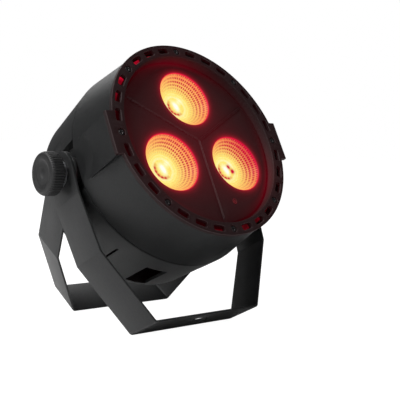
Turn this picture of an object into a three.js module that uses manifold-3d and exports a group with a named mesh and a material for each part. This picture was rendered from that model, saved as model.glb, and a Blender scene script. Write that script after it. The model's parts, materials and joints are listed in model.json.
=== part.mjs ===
// LED par can light on a double yoke: round plastic head with three collimator lenses,
// clamped between two steel yokes that open into a floor stand.
// Millimetres, +Z up, the head looks towards -Y. Origin on the floor, under the middle of the box.

import * as THREE from 'three';
import { mergeVertices } from 'three/addons/utils/BufferGeometryUtils.js';
import Module from 'manifold-3d';

const wasm = await Module();
wasm.setup();

// ---- driving dimensions ------------------------------------------------------------------

const GAP = 0.3;                  // air between pieces that touch
const PIVOT = { y: 11.26, z: 104.785 };   // tilt axis, along X
const HEAD_TILT = 30.3;           // degrees the head looks above the horizontal

// Head, in its own frame: +Z out of the front, +Y up, the tilt axis through the origin.
const FRONT = 59.7;               // front face of the ring, ahead of the tilt axis
const RING = { radius: 73, inner: 63.6, thick: 3, collarWall: 1.8 };
const SHELF = { inner: 58, depth: 9, thick: 1.6 };    // behind the face plate, on the ring's collar
const TAB = { reach: 76.5, half: 15 };
const SLOT = { radius: 68.4, width: 4.2, sweep: 7.8, pitch: 12, tip: 1 };
const GROUPS = 8;                 // groups of three slots, parted by the ring screws
const SCREW = {
  orbit: 68.4, head: 2.3, height: 1.2, taper: 0.4, shank: 1.1, length: 12, sink: 1.5, play: 0.4,
};
const SCREW_POST = { radius: 2.6, length: 12 };
const PLATE = { radius: 61.5, front: 6, thick: 2.6, chamfer: 0.6, window: 21.2 };
const RIB = { height: 0.7, width: 1.5, margin: 1.5, angles: [30, 150, 270] };
const EYE = { x: 15.3, y: -46.1, radius: 1.3, hole: 1.6, body: 3 };
const LENS = { orbit: 33.5, radius: 22.4, top: 8.9, rim: 1.6, bevel: 1.5, step: 0.6, height: 17, foot: 6.6 };
const WAIST = { radius: 14.2, depth: 9.5 };           // of the collimator's cone
const WELL = { mouth: 7, floor: 4.4, depth: 6.5 };    // in the collimator's front
const POCKET = { mouth: 4.6, top: 4, depth: 5 };      // over the emitter
const HOLDER = { wall: 1.3, play: 0.4, lip: 0.6, lipHeight: 2 };
const EMITTER = { half: 3.5, thick: 1, dome: 2.6, height: 2.7 };
const DOME = [[0.8, 0.7], [0.45, 0.93], [0, 1]];      // shares of the dome's radius and height
const BOARD = { radius: 54, thick: 1.6, depth: 28.8 };
const PILLAR = { orbit: 26, radius: 3 };
const SINK = { radius: 56, thick: 4, finDepth: 15, fins: 9, finThick: 2, finPitch: 11 };
const SHELL = {
  wall: 2.2, frontRadius: 71.8, seamDepth: 43.5, seamRadius: 77.5, rearDepth: 94, rearRadius: 74,
};
const LAP = { wall: 1.5, land: 1, landEnd: 0.5, taper: 0.6, inFront: 5, behind: 3, play: 0.1 };
const BOSS = { root: 60, plane: 75.2, half: 15, relief: 76.2 };  // the relief clears the swinging yokes
const FLAT = { plane: 70.8, pocket: 71.5, half: 16.5, step: 61, wall: 2.6 };
const VENT = { width: 17, from: 61, to: 91, angle: 253 };
const CLIP = { width: 1.6, from: 58.7, to: 75, first: 47.3 };
const PANEL = { radius: 61.6, thick: 1.7, depth: 93.6, play: 0.4 };
const LEDGE = { inner: 57, outer: 64.1, thick: 2.2 };  // that the back panel rests on
const PANEL_SCREW = { orbit: 53.5, head: 2.8, shank: 1.4, hole: 1.8, sink: 1.5, length: 2 };
const LOUVRE = { x: 32, y: -30, pitch: 4.4, half: 7, height: 2.2, count: 4 };
const MICROPHONE = { y: 47.2, hole: 1.2, radius: 3, length: 4 };
const DISPLAY = { width: 34, height: 14, corner: 1.3, y: 33, proud: 0.4, margin: 1, bodyDepth: 3.4 };
const BUTTON = { radius: 3.6, proud: 1.9, stem: 4.2, stemRadius: 2, flange: 0.4, y: 15, pitch: 14 };
const DMX = {
  x: 29, y: -9, flangeW: 25, flangeH: 29, flange: 1.8, corner: 3, barrel: 11.2, bore: 9.3, depth: 16,
  faceGap: 1.2, faceSink: 0.4,    // round and before the filled face
};
const PIN = { orbit: 4.4, radius: 1.2, length: 8, angles: [90, 210, 330] };
const DMX_SCREW = { x: 9.6, y: 11.8, radius: 1.4 };
const INLET = {
  y: -38, flangeW: 31, flangeH: 27, flange: 2, corner: 2, holeW: 28, holeH: 23,
  width: 24, height: 16.2, depth: 17, wall: 1.5, clip: 4,
};
const BLADE = { length: 10, halfX: 1, halfY: 2, places: [[-7, -1.5], [0, 2.5], [7, -1.5]] };
const CONTROL = {
  depth: 6.2, thick: 1.6, x: [-40, 40], y: [8, 45], chip: { x: [-8, 8], y: [20, 34], height: 2.4 },
};
const SUPPLY = {
  depth: 26, thick: 1.6, x: [-38, 38], y: [-38, 22], transformer: { x: [-14, 12], y: [-10, 14], height: 9 },
  capacitors: [[6, 26, 8], [4.5, -26, 10]], capacitorHeight: 6,
};

// Clamp on the tilt axis, measured outwards along X.
const STUD = { radius: 4, from: 60, to: 92 };
const NUT = { flats: 13, from: 61.5, to: 67.8 };
const WASHER = { radius: 12, bore: 4.6, from: 71.8, to: 76.3 };
const KNOB = {
  ribs: 48, radius: 14.75, root: 14.2, from: 85.2, to: 94.6, bevel: 1, dish: 9.5, slope: 1.5,
  neck: 8.5, neckFrom: 82.2,
};
const PRESSURE = { radius: 9.5, from: 80.7, to: 81.9 };

// Yokes: a strap bent twice on each side. Points of its outer face: [half span, drop below the axis].
const STRAP = { width: 30.2, thick: 1.5, bend: 3, hole: 4.4, slotLength: 14, slotWidth: 9, slotShift: 2 };
const FRONT_YOKE = { lean: 29.2, face: [[80.4, 20], [75.1, 61.2], [46.6, 111.6]] };
const REAR_YOKE = { lean: 25.6, face: [[78.1, 20], [73.4, 58.9], [45.0, 108.9]] };

const PAST = 1;                   // how far a cutter or a joined piece runs past a face
const FAR = 100;                  // beyond every outer face
const ROUND = 48;                 // facets on the large circles
const rad = THREE.MathUtils.degToRad;

// ---- materials ---------------------------------------------------------------------------

const finish = (color, roughness, metalness = 0) =>
  () => new THREE.MeshStandardMaterial({ color, roughness, metalness });
const shellPlastic = finish(0x26272a, 0.55);
const ringPlastic = finish(0x221c1d, 0.5);
const knobPlastic = finish(0x2a2b2d, 0.6);
const darkPlastic = finish(0x101012, 0.6);
const lensPlastic = finish(0xffb060, 0.08);
const emitterResin = finish(0xffe9a0, 0.3);
const blackSteel = finish(0x2b2c2e, 0.5, 0.3);
const zincSteel = finish(0xb5b8bc, 0.35, 1);
const rubber = finish(0x0c0c0d, 0.9);
const aluminium = finish(0xb9bdc2, 0.4, 1);
const boardGreen = finish(0x1c4a2c, 0.5);
const boardWhite = finish(0xe6e6e2, 0.5);
const smokedPanel = finish(0x160606, 0.15);

// ---- shape helpers -----------------------------------------------------------------------

// A closed geometry as a solid: shared corners merged, slivers dropped, faces turned outwards.
function solid(geometry) {
  const bare = geometry.index ? geometry.toNonIndexed() : geometry.clone();
  for (const name of Object.keys(bare.attributes)) {
    if (name !== 'position') bare.deleteAttribute(name);
  }
  const merged = mergeVertices(bare, 1e-4);
  const index = merged.index.array;
  const place = merged.attributes.position;
  const corners = [];
  let volume = 0;
  for (let i = 0; i < index.length; i += 3) {
    const [a, b, c] = [index[i], index[i + 1], index[i + 2]];
    if (a === b || b === c || c === a) continue;
    corners.push(a, b, c);
    const [p, q, r] = [a, b, c].map((k) => new THREE.Vector3().fromBufferAttribute(place, k));
    volume += p.dot(q.cross(r));
  }
  if (volume < 0) corners.reverse();
  return new wasm.Manifold(new wasm.Mesh({
    numProp: 3,
    vertProperties: new Float32Array(place.array),
    triVerts: new Uint32Array(corners),
  }));
}

// Back from a solid to a geometry.
function skin(body) {
  const mesh = body.getMesh();
  const geometry = new THREE.BufferGeometry();
  geometry.setAttribute('position', new THREE.BufferAttribute(new Float32Array(mesh.vertProperties), 3));
  geometry.setIndex(new THREE.BufferAttribute(new Uint32Array(mesh.triVerts), 1));
  const flat = geometry.toNonIndexed();
  flat.computeVertexNormals();
  return flat;
}

const join = (first, ...rest) => rest.reduce((sum, piece) => sum.add(piece), first);
const cut = (first, ...rest) => rest.reduce((sum, piece) => sum.subtract(piece), first);

// Profile of [radius, height] points turned about Z. It starts and ends on the axis, or closes.
function turned(profile, facets = ROUND) {
  const points = profile.map(([r, z]) => new THREE.Vector2(r, z));
  return solid(new THREE.LatheGeometry(points, facets).rotateX(Math.PI / 2));
}

// Ring section between two radii and two heights.
function tube(inner, outer, low, high, facets = ROUND) {
  return turned([[inner, low], [outer, low], [outer, high], [inner, high], [inner, low]], facets);
}

function rod(radius, low, high, x = 0, y = 0, facets = 20) {
  return turned([[0, low], [radius, low], [radius, high], [0, high]], facets).translate([x, y, 0]);
}

function box(x, y, z) {
  const geometry = new THREE.BoxGeometry(x[1] - x[0], y[1] - y[0], z[1] - z[0]);
  return solid(geometry.translate((x[0] + x[1]) / 2, (y[0] + y[1]) / 2, (z[0] + z[1]) / 2));
}

// Flat outline with straight walls between two heights.
function prism(shape, low, high) {
  const geometry = new THREE.ExtrudeGeometry(shape,
    { depth: high - low, bevelEnabled: false, curveSegments: 3 });
  return solid(geometry.translate(0, 0, low));
}

function roundedRectangle(width, height, corner, x = 0, y = 0) {
  const [w, h] = [width / 2 - corner, height / 2 - corner];
  const shape = new THREE.Shape();
  const quarters = [[w, -h, -90], [w, h, 0], [-w, h, 90], [-w, -h, 180]];
  for (const [cx, cy, start] of quarters) {
    shape.absarc(x + cx, y + cy, corner, rad(start), rad(start + 90), false);
  }
  return shape;
}

const polar = (radius, degrees) => [radius * Math.cos(rad(degrees)), radius * Math.sin(rad(degrees))];

const parts = { head: new THREE.Group(), front: new THREE.Group(), rear: new THREE.Group() };

function place(group, name, body, material) {
  const mesh = new THREE.Mesh(skin(body), material());
  mesh.name = name;
  group.add(mesh);
}

// ---- front of the head -------------------------------------------------------------------

const ringScrewPlaces = Array.from({ length: GROUPS }, (_, i) => polar(SCREW.orbit, i * 360 / GROUPS));

// One slot of the ring: a window with its long sides along the circle and pointed ends.
function slotOutline(middle) {
  const half = SLOT.sweep / 2;
  const side = half - SLOT.tip;
  const [low, high] = [SLOT.radius - SLOT.width / 2, SLOT.radius + SLOT.width / 2];
  const corners = [[low, -side], [low, side], [SLOT.radius, half], [high, side], [high, -side],
    [SLOT.radius, -half]];
  const points = corners.map(([r, a]) => new THREE.Vector2(...polar(r, middle + a)));
  return new THREE.Path(points.reverse());
}

// Disc with a straight-sided tab at each end of the tilt axis, its bore and its slots.
function ringOutline() {
  const steps = 18;
  const shoulder = Math.asin(TAB.half / RING.radius);
  const points = [];
  for (const [sign, side] of [[1, 0], [-1, Math.PI]]) {
    points.push(new THREE.Vector2(sign * TAB.reach, -sign * TAB.half));
    points.push(new THREE.Vector2(sign * TAB.reach, sign * TAB.half));
    for (let i = 0; i <= steps; i += 1) {
      const a = side + shoulder + (Math.PI - 2 * shoulder) * i / steps;
      points.push(new THREE.Vector2(RING.radius * Math.cos(a), RING.radius * Math.sin(a)));
    }
  }
  const shape = new THREE.Shape(points);
  shape.holes.push(new THREE.Path().absarc(0, 0, RING.inner, 0, 2 * Math.PI, true));
  for (let group = 0; group < GROUPS; group += 1) {
    for (const step of [-1, 0, 1]) {
      shape.holes.push(slotOutline((group + 0.5) * 360 / GROUPS + step * SLOT.pitch));
    }
  }
  return shape;
}

function ringPlate() {
  const geometry = new THREE.ExtrudeGeometry(ringOutline(),
    { depth: RING.thick, bevelEnabled: false, curveSegments: ROUND });
  return solid(geometry.translate(0, 0, FRONT - RING.thick));
}

function frontRing() {
  const wallOut = RING.inner + RING.collarWall;
  const low = FRONT - SHELF.depth - SHELF.thick;
  const high = FRONT - PAST;
  const collar = turned([[RING.inner, high], [wallOut, high], [wallOut, low], [SHELF.inner, low],
    [SHELF.inner, low + SHELF.thick], [RING.inner, low + SHELF.thick], [RING.inner, high]]);
  let ring = ringPlate().add(collar);
  for (const [x, y] of ringScrewPlaces) {
    ring = cut(ring, rod(SCREW.head + SCREW.play, FRONT - SCREW.sink, FRONT + PAST, x, y, 8),
      rod(SCREW.shank + GAP, FRONT - RING.thick - PAST, FRONT, x, y, 5));
  }
  place(parts.head, 'front_ring', ring, ringPlastic);
}

function ringScrews() {
  const under = FRONT - SCREW.sink + GAP;
  const top = under + SCREW.height;
  const tip = under - SCREW.length;
  const screw = turned([[0, tip], [SCREW.shank, tip], [SCREW.shank, under], [SCREW.head, under],
    [SCREW.head - SCREW.taper, top], [0, top]], 8);
  ringScrewPlaces.forEach(([x, y], i) => {
    place(parts.head, `ring_screw_${i + 1}`, screw.translate([x, y, 0]), zincSteel);
  });
}

const lensAngles = { top: 90, left: 210, right: 330 };

function facePlate() {
  const top = FRONT - PLATE.front;
  const low = top - PLATE.thick;
  const { radius, chamfer } = PLATE;
  let plate = turned([[0, low], [radius, low], [radius, top - chamfer], [radius - chamfer, top], [0, top]]);
  const rib = box([0, radius - RIB.margin], [-RIB.width / 2, RIB.width / 2],
    [top - PAST, top + RIB.height]);
  for (const angle of RIB.angles) plate = plate.add(rib.rotate([0, 0, angle]));
  for (const angle of Object.values(lensAngles)) {
    plate = cut(plate, rod(PLATE.window, low - PAST, top + 2 * PAST, ...polar(LENS.orbit, angle), 36));
  }
  plate = cut(plate, rod(EYE.hole, low - PAST, top + PAST, EYE.x, EYE.y, 8));
  place(parts.head, 'face_plate', plate, ringPlastic);
}

// Collimator: flat front with a well in its middle, cone behind, pocket for the emitter.
function collimator() {
  const { radius, rim, bevel, step } = LENS;
  const top = FRONT - LENS.top;
  const foot = top - LENS.height;
  const face = top - step;
  return turned([[0, top - WELL.depth], [WELL.floor, top - WELL.depth], [WELL.mouth, face],
    [radius - 2 * bevel, face], [radius - bevel, top], [radius, top], [radius, top - rim],
    [radius - rim, top - rim], [WAIST.radius, top - WAIST.depth], [LENS.foot, foot], [POCKET.mouth, foot],
    [POCKET.top, foot + POCKET.depth], [0, foot + POCKET.depth + PAST]], 20);
}

// Cup that grips the collimator's cone and stands on the emitter board.
function holder() {
  const { wall, play, lip, lipHeight } = HOLDER;
  const top = FRONT - LENS.top - LENS.rim - GAP;
  const foot = FRONT - BOARD.depth + GAP;
  const edge = LENS.radius - LENS.rim + play;
  const waist = WAIST.radius + play;
  const throat = LENS.foot + play + lip;
  const waistAt = FRONT - LENS.top - WAIST.depth;
  return turned([[edge, top], [LENS.radius + lip, top], [LENS.radius + lip, top - lipHeight],
    [edge + wall, top - lipHeight], [waist + wall, waistAt - GAP], [throat + wall, foot + lipHeight],
    [throat + wall, foot], [throat, foot], [throat, foot + lipHeight], [waist + lip, waistAt],
    [edge, top]], 16);
}

function emitter() {
  const { half, thick, dome, height } = EMITTER;
  const base = FRONT - BOARD.depth + GAP;
  const slab = box([-half, half], [-half, half], [base, base + thick]);
  const bulge = turned([[0, base + thick / 2], [dome, base + thick / 2], [dome, base + thick],
    ...DOME.map(([r, z]) => [dome * r, base + height * z])], 10);
  return slab.add(bulge);
}

function lightUnits() {
  for (const [side, angle] of Object.entries(lensAngles)) {
    const at = [...polar(LENS.orbit, angle), 0];
    place(parts.head, `lens_${side}`, collimator().translate(at), lensPlastic);
    place(parts.head, `lens_holder_${side}`, holder().translate(at), darkPlastic);
    place(parts.head, `led_emitter_${side}`, emitter().translate(at), emitterResin);
  }
}

function ledBoard() {
  const high = FRONT - BOARD.depth;
  place(parts.head, 'led_board', rod(BOARD.radius, high - BOARD.thick, high, 0, 0, ROUND), boardWhite);
}

// Disc with upright fins behind it, each as long as the disc is wide there.
function heatsink() {
  const high = FRONT - BOARD.depth - BOARD.thick - GAP;
  const low = high - SINK.thick;
  const rim = SINK.radius - SINK.finThick;
  let sink = rod(SINK.radius, low, high, 0, 0, ROUND);
  for (let i = 0; i < SINK.fins; i += 1) {
    const x = (i - (SINK.fins - 1) / 2) * SINK.finPitch;
    const half = SINK.finThick / 2;
    const reach = Math.sqrt(rim ** 2 - (Math.abs(x) + half) ** 2);
    sink = sink.add(box([x - half, x + half], [-reach, reach], [low - SINK.finDepth, low + PAST]));
  }
  place(parts.head, 'heatsink', sink, aluminium);
}

// Three pillars hold the emitter board behind the face plate, between the lenses.
function pillars() {
  const high = FRONT - PLATE.front - PLATE.thick - GAP;
  const low = FRONT - BOARD.depth + GAP;
  RIB.angles.forEach((angle, i) => {
    const pillar = rod(PILLAR.radius, low, high, ...polar(PILLAR.orbit, angle), 6);
    place(parts.head, `board_pillar_${i + 1}`, pillar, zincSteel);
  });
}

function infraredReceiver() {
  const high = FRONT - PLATE.front - PLATE.thick - GAP;
  const body = box([-EYE.body, EYE.body], [-EYE.body, EYE.body], [high - 5 * PAST, high - PAST]);
  const eye = rod(EYE.radius, high - 2 * PAST, high + PAST, 0, 0, 12);
  place(parts.head, 'ir_receiver', body.add(eye).translate([EYE.x, EYE.y, 0]), darkPlastic);
}

// ---- shells ------------------------------------------------------------------------------

const mirrored = (body) => body.add(body.mirror([1, 0, 0]));
const behind = (depth) => FRONT - depth;

// Outer radius of the barrel at a depth behind the ring's front face.
function barrel(depth) {
  const { frontRadius, seamDepth, seamRadius, rearDepth, rearRadius } = SHELL;
  if (depth < seamDepth) return frontRadius + (seamRadius - frontRadius) * depth / seamDepth;
  return seamRadius + (rearRadius - seamRadius) * (depth - seamDepth) / (rearDepth - seamDepth);
}

// Lip inside the seam, on which the rear shell centres.
function seamLip() {
  const seam = SHELL.seamDepth;
  const out = barrel(seam) - SHELL.wall - LAP.play;
  const inner = out - LAP.wall;
  const [low, high] = [behind(seam + LAP.behind), behind(seam - LAP.inFront)];
  return turned([[inner, high], [out + LAP.land, high], [out + LAP.land, behind(seam - 2 * LAP.landEnd)],
    [out, behind(seam - LAP.landEnd)], [out - LAP.taper, low], [inner, low], [inner, high]]);
}

function frontShell() {
  const from = RING.thick + GAP;
  const to = SHELL.seamDepth;
  const { wall } = SHELL;
  const chamfer = 0.5;
  const outside = turned([[0, behind(from)], [barrel(from), behind(from)],
    [barrel(to) - chamfer, behind(to - 2 * chamfer)], [barrel(to) - 2 * chamfer, behind(to)], [0, behind(to)]]);
  const across = [-BOSS.half, BOSS.half];
  const bosses = mirrored(box([BOSS.root, BOSS.plane], across, [behind(to), behind(from)]));
  const relief = mirrored(box([BOSS.relief, FAR], across, [behind(to) - PAST, behind(from)]));
  const inside = turned([[0, behind(from) + PAST], [barrel(from) - wall, behind(from) + PAST],
    [barrel(to) - wall, behind(to) - PAST], [0, behind(to) - PAST]]);
  let shell = cut(join(outside, bosses), relief, inside).add(seamLip());
  for (const [x, y] of ringScrewPlaces) {
    shell = shell.add(rod(SCREW_POST.radius, behind(from + SCREW_POST.length), behind(from), x, y, 7));
    shell = cut(shell,
      rod(SCREW.shank + SCREW.play, behind(from + SCREW_POST.length + PAST), behind(from) + PAST, x, y, 5));
  }
  place(parts.head, 'front_shell', shell, shellPlastic);
}

// Cup with rounded rear edge, a ledge for the back panel, clamp flats, vents and clip slots.
function rearShell() {
  const from = SHELL.seamDepth + GAP;
  const to = SHELL.rearDepth;
  const { wall } = SHELL;
  const [bevel, edge] = [0.8, 2.5];
  const outside = turned([[0, behind(from)], [barrel(from) - bevel / 2, behind(from)],
    [barrel(from + bevel), behind(from + bevel)], [barrel(to - edge), behind(to - edge)],
    [barrel(to) - bevel, behind(to - bevel)], [barrel(to) - edge, behind(to)], [0, behind(to)]]);
  const ledge = PANEL.depth - PANEL.thick - GAP;
  const backWall = to - wall - GAP;
  const inside = turned([[0, behind(from) + PAST], [barrel(from) - wall, behind(from) + PAST],
    [barrel(to - wall) - wall, behind(backWall)], [LEDGE.outer, behind(backWall)],
    [LEDGE.outer, behind(ledge - LEDGE.thick)], [0, behind(ledge - LEDGE.thick)]]);
  const pocket = box([FLAT.pocket, FAR], [-FLAT.half, FLAT.half],
    [behind(FLAT.step) - PAST, behind(from) + PAST]);
  const flat = box([FLAT.plane, FAR], [-FAR, FAR], [behind(to) - PAST, behind(FLAT.step)]);
  const besideFlats = box([FLAT.plane - FLAT.wall, FAR], [-FAR, FAR],
    [behind(to) - PAST, behind(from + LAP.behind + 2 * GAP)]);
  let shell = cut(outside, cut(inside, mirrored(besideFlats)), mirrored(pocket), mirrored(flat),
    rod(PANEL.radius + GAP, behind(to) - PAST, behind(ledge), 0, 0, ROUND),
    rod(LEDGE.inner, behind(to) - PAST, behind(ledge) + 5 * PAST, 0, 0, ROUND));
  const vent = box([BOSS.root, FAR], [-VENT.width / 2, VENT.width / 2],
    [behind(VENT.to), behind(VENT.from)]);
  for (const angle of [VENT.angle, 180 - VENT.angle]) shell = cut(shell, vent.rotate([0, 0, angle]));
  const clip = box([BOSS.root, FAR], [-CLIP.width / 2, CLIP.width / 2],
    [behind(CLIP.to), behind(CLIP.from)]);
  for (const angle of [CLIP.first, 180 - CLIP.first, 180 + CLIP.first, -CLIP.first]) {
    shell = cut(shell, clip.rotate([0, 0, angle]));
  }
  const bore = rod(STUD.radius + PANEL.play, -FAR, FAR, 0, 0, 20).rotate([0, 90, 0]);
  place(parts.head, 'rear_shell', cut(shell, bore), shellPlastic);
}

// ---- back panel and what it carries ------------------------------------------------------

const panelBack = behind(PANEL.depth);
const panelInner = panelBack + PANEL.thick;
const panelScrewPlaces = [45, 135, 225, 315].map((angle) => polar(PANEL_SCREW.orbit, angle));
const buttonNames = ['menu', 'down', 'up', 'enter'];
const buttonX = (i) => (1.5 - i) * BUTTON.pitch;

function backPanel() {
  const through = [panelBack - PAST, panelInner + PAST];
  const holes = [
    prism(roundedRectangle(DISPLAY.width + PANEL.play, DISPLAY.height + PANEL.play,
      DISPLAY.corner + PANEL.play / 2, 0, DISPLAY.y), ...through),
    prism(roundedRectangle(INLET.holeW, INLET.holeH, INLET.corner, 0, INLET.y), ...through),
    rod(MICROPHONE.hole, ...through, 0, MICROPHONE.y, 8),
  ];
  for (const x of [-DMX.x, DMX.x]) holes.push(rod(DMX.barrel + GAP, ...through, x, DMX.y, 20));
  buttonNames.forEach((name, i) => {
    holes.push(rod(BUTTON.radius + PANEL.play, ...through, buttonX(i), BUTTON.y, 12));
  });
  for (const [x, y] of panelScrewPlaces) holes.push(rod(PANEL_SCREW.hole, ...through, x, y, 8));
  for (const x of [-LOUVRE.x, LOUVRE.x]) {
    for (let i = 0; i < LOUVRE.count; i += 1) {
      const y = LOUVRE.y - i * LOUVRE.pitch;
      const half = LOUVRE.half - i;
      holes.push(box([x - half, x + half], [y - LOUVRE.height / 2, y + LOUVRE.height / 2], through));
    }
  }
  const disc = rod(PANEL.radius, panelBack, panelInner, 0, 0, ROUND);
  place(parts.head, 'back_panel', cut(disc, ...holes), darkPlastic);
}

function panelScrews() {
  const { head, shank, sink, length } = PANEL_SCREW;
  const face = panelBack - GAP;
  const screw = turned([[0, face - sink], [head - 1, face - sink], [head, face - sink / 2], [head, face],
    [shank, face], [shank, face + length], [0, face + length]], 10);
  panelScrewPlaces.forEach(([x, y], i) => {
    place(parts.head, `panel_screw_${i + 1}`, screw.translate([x, y, 0]), zincSteel);
  });
}

function display() {
  const { width, height, y, proud, margin, bodyDepth } = DISPLAY;
  const glass = prism(roundedRectangle(width, height, DISPLAY.corner, 0, y), panelBack - proud, panelInner);
  const [halfX, halfY] = [width / 2 - margin, height / 2 - margin];
  const body = box([-halfX, halfX], [y - halfY, y + halfY],
    [panelInner - PANEL.thick / 2, panelInner + bodyDepth]);
  place(parts.head, 'display_window', glass.add(body), smokedPanel);
}

// Round caps on thin stems that reach towards the control board.
function buttons() {
  const { radius, proud, stem, stemRadius, flange } = BUTTON;
  const chamfer = 0.6;
  const face = panelBack - proud;
  const inner = panelInner + GAP + flange;
  const cap = turned([[0, face], [radius - chamfer, face], [radius, face + chamfer], [radius, inner],
    [stemRadius, inner], [stemRadius, panelBack + stem], [0, panelBack + stem]], 12);
  buttonNames.forEach((name, i) => {
    place(parts.head, `button_${name}`, cap.translate([buttonX(i), BUTTON.y, 0]), knobPlastic);
  });
}

// Round three-pole connector: male pins in an open cup, or holes in a filled face.
function dmxSocket(name, x, male) {
  const face = panelBack - GAP;
  const mouth = face - DMX.flange;
  const floor = mouth + DMX.depth;
  const flange = prism(roundedRectangle(DMX.flangeW, DMX.flangeH, DMX.corner), mouth, face);
  let socket = flange.add(rod(DMX.barrel, face - PAST, floor + 2 * PAST));
  socket = cut(socket, rod(DMX.bore, mouth - PAST, floor));
  if (!male) socket = socket.add(rod(DMX.bore - DMX.faceGap, mouth + DMX.faceSink, floor + PAST));
  for (const angle of PIN.angles) {
    const [px, py] = polar(PIN.orbit, angle);
    socket = male
      ? socket.add(rod(PIN.radius, floor - PIN.length, floor + PAST, px, py, 6))
      : cut(socket, rod(PIN.radius + GAP, mouth - PAST, mouth + PIN.length, px, py, 6));
  }
  for (const side of [-1, 1]) {
    socket = cut(socket,
      rod(DMX_SCREW.radius, mouth - PAST, face + PAST, side * DMX_SCREW.x, side * DMX_SCREW.y, 6));
  }
  place(parts.head, name, socket.translate([x, DMX.y, 0]), darkPlastic);
}

// Mains appliance inlet: a deep mouth with two clipped corners and three blades.
function powerInlet() {
  const { flangeW, flangeH, corner, width, height, depth, wall, clip, y } = INLET;
  const face = panelBack - GAP;
  const mouth = face - INLET.flange;
  const floor = mouth + depth;
  const [halfX, halfY] = [width / 2, height / 2];
  const outline = [[-halfX, -halfY], [halfX, -halfY], [halfX, halfY - clip], [halfX - clip, halfY],
    [clip - halfX, halfY], [-halfX, halfY - clip]].map(([u, v]) => new THREE.Vector2(u, v));
  const flange = prism(roundedRectangle(flangeW, flangeH, corner), mouth, face);
  const sleeve = prism(roundedRectangle(width + 2 * wall, height + 2 * wall, corner),
    face - PAST, floor + 2 * PAST);
  let inlet = cut(flange.add(sleeve), prism(new THREE.Shape(outline), mouth - PAST, floor));
  for (const [u, v] of BLADE.places) {
    inlet = inlet.add(box([u - BLADE.halfX, u + BLADE.halfX], [v - BLADE.halfY, v + BLADE.halfY],
      [floor - BLADE.length, floor + PAST]));
  }
  place(parts.head, 'power_inlet', inlet.translate([0, y, 0]), darkPlastic);
}

// Control board behind the display, power supply board in front of it, and the sound sensor.
function electronics() {
  const { chip } = CONTROL;
  const board = panelInner + CONTROL.depth;
  const control = box(CONTROL.x, CONTROL.y, [board, board + CONTROL.thick]);
  const block = box(chip.x, chip.y, [board + PAST, board + CONTROL.thick + chip.height]);
  place(parts.head, 'control_board', control.add(block), boardGreen);

  const { transformer } = SUPPLY;
  const supply = panelInner + SUPPLY.depth;
  const power = box(SUPPLY.x, SUPPLY.y, [supply, supply + SUPPLY.thick]);
  const core = box(transformer.x, transformer.y, [supply - transformer.height, supply + PAST]);
  const capacitors = SUPPLY.capacitors.map(
    ([r, x, y]) => rod(r, supply - SUPPLY.capacitorHeight, supply + PAST, x, y, 16));
  place(parts.head, 'power_supply_board', join(power, core, ...capacitors), boardGreen);

  const { radius, length, y } = MICROPHONE;
  place(parts.head, 'microphone', rod(radius, panelInner + GAP, panelInner + length, 0, y, 14), zincSteel);
}

// ---- clamp on the tilt axis --------------------------------------------------------------

// Turned pieces drawn along +Z, then laid out along +X or -X.
const sideways = (body, side) => body.rotate([0, side * 90, 0]);

function knobOutline() {
  const points = [];
  const step = 360 / KNOB.ribs;
  for (let i = 0; i < KNOB.ribs; i += 1) {
    points.push(new THREE.Vector2(...polar(KNOB.radius, i * step)));
    points.push(new THREE.Vector2(...polar(KNOB.root, (i + 0.5) * step)));
  }
  return new THREE.Shape(points);
}

function knob() {
  const { from, to, root, bevel, neck, neckFrom, dish, slope } = KNOB;
  const face = to - PAST;
  const grip = prism(knobOutline(), from, face);
  const cap = turned([[0, face - GAP], [root, face - GAP], [root - bevel, to], [dish, to],
    [dish - slope, face], [0, face]], 32);
  const body = join(grip, cap, rod(neck, neckFrom, from + PAST));
  return cut(body, rod(STUD.radius + GAP, neckFrom - PAST, STUD.to + GAP, 0, 0, 16));
}

function clamp(side, name) {
  const put = (kind, body, material) => place(parts.head, `${kind}_${name}`, sideways(body, side), material);
  const clearance = STUD.radius + GAP;
  const nut = cut(rod(NUT.flats / Math.sqrt(3), NUT.from, NUT.to, 0, 0, 6),
    rod(clearance, NUT.from - PAST, NUT.to + PAST, 0, 0, 16));
  put('clamp_nut', nut, zincSteel);
  put('friction_washer', tube(WASHER.bore, WASHER.radius, WASHER.from, WASHER.to, 24), rubber);
  put('clamp_stud', rod(STUD.radius, STUD.from, STUD.to, 0, 0, 16), zincSteel);
  put('pressure_washer', tube(clearance, PRESSURE.radius, PRESSURE.from, PRESSURE.to, 20), zincSteel);
  put('knob', knob(), knobPlastic);
}

// ---- yokes -------------------------------------------------------------------------------

// Replaces a sharp corner by a short arc.
function filleted(points, radius) {
  const out = [];
  points.forEach((point, i) => {
    if (i === 0 || i === points.length - 1) {
      out.push(point);
      return;
    }
    const before = points[i - 1].clone().sub(point).normalize();
    const after = points[i + 1].clone().sub(point).normalize();
    const trim = radius * Math.tan((Math.PI - before.angleTo(after)) / 2);
    const start = point.clone().addScaledVector(before, trim);
    const end = point.clone().addScaledVector(after, trim);
    const curve = new THREE.QuadraticBezierCurve(start, point, end);
    out.push(...curve.getPoints(3));
  });
  return out;
}

// Offsets a bent line sideways by the strap's thickness.
function offset(points, distance) {
  return points.map((point, i) => {
    const into = (i > 0 ? point.clone().sub(points[i - 1]) : points[1].clone().sub(point)).normalize();
    const away = (i < points.length - 1 ? points[i + 1].clone().sub(point) : into.clone()).normalize();
    const normal = new THREE.Vector2(into.y + away.y, -into.x - away.x).normalize();
    const stretch = 1 / Math.max(0.5, normal.dot(new THREE.Vector2(into.y, -into.x)));
    return point.clone().addScaledVector(normal, distance * stretch);
  });
}

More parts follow.
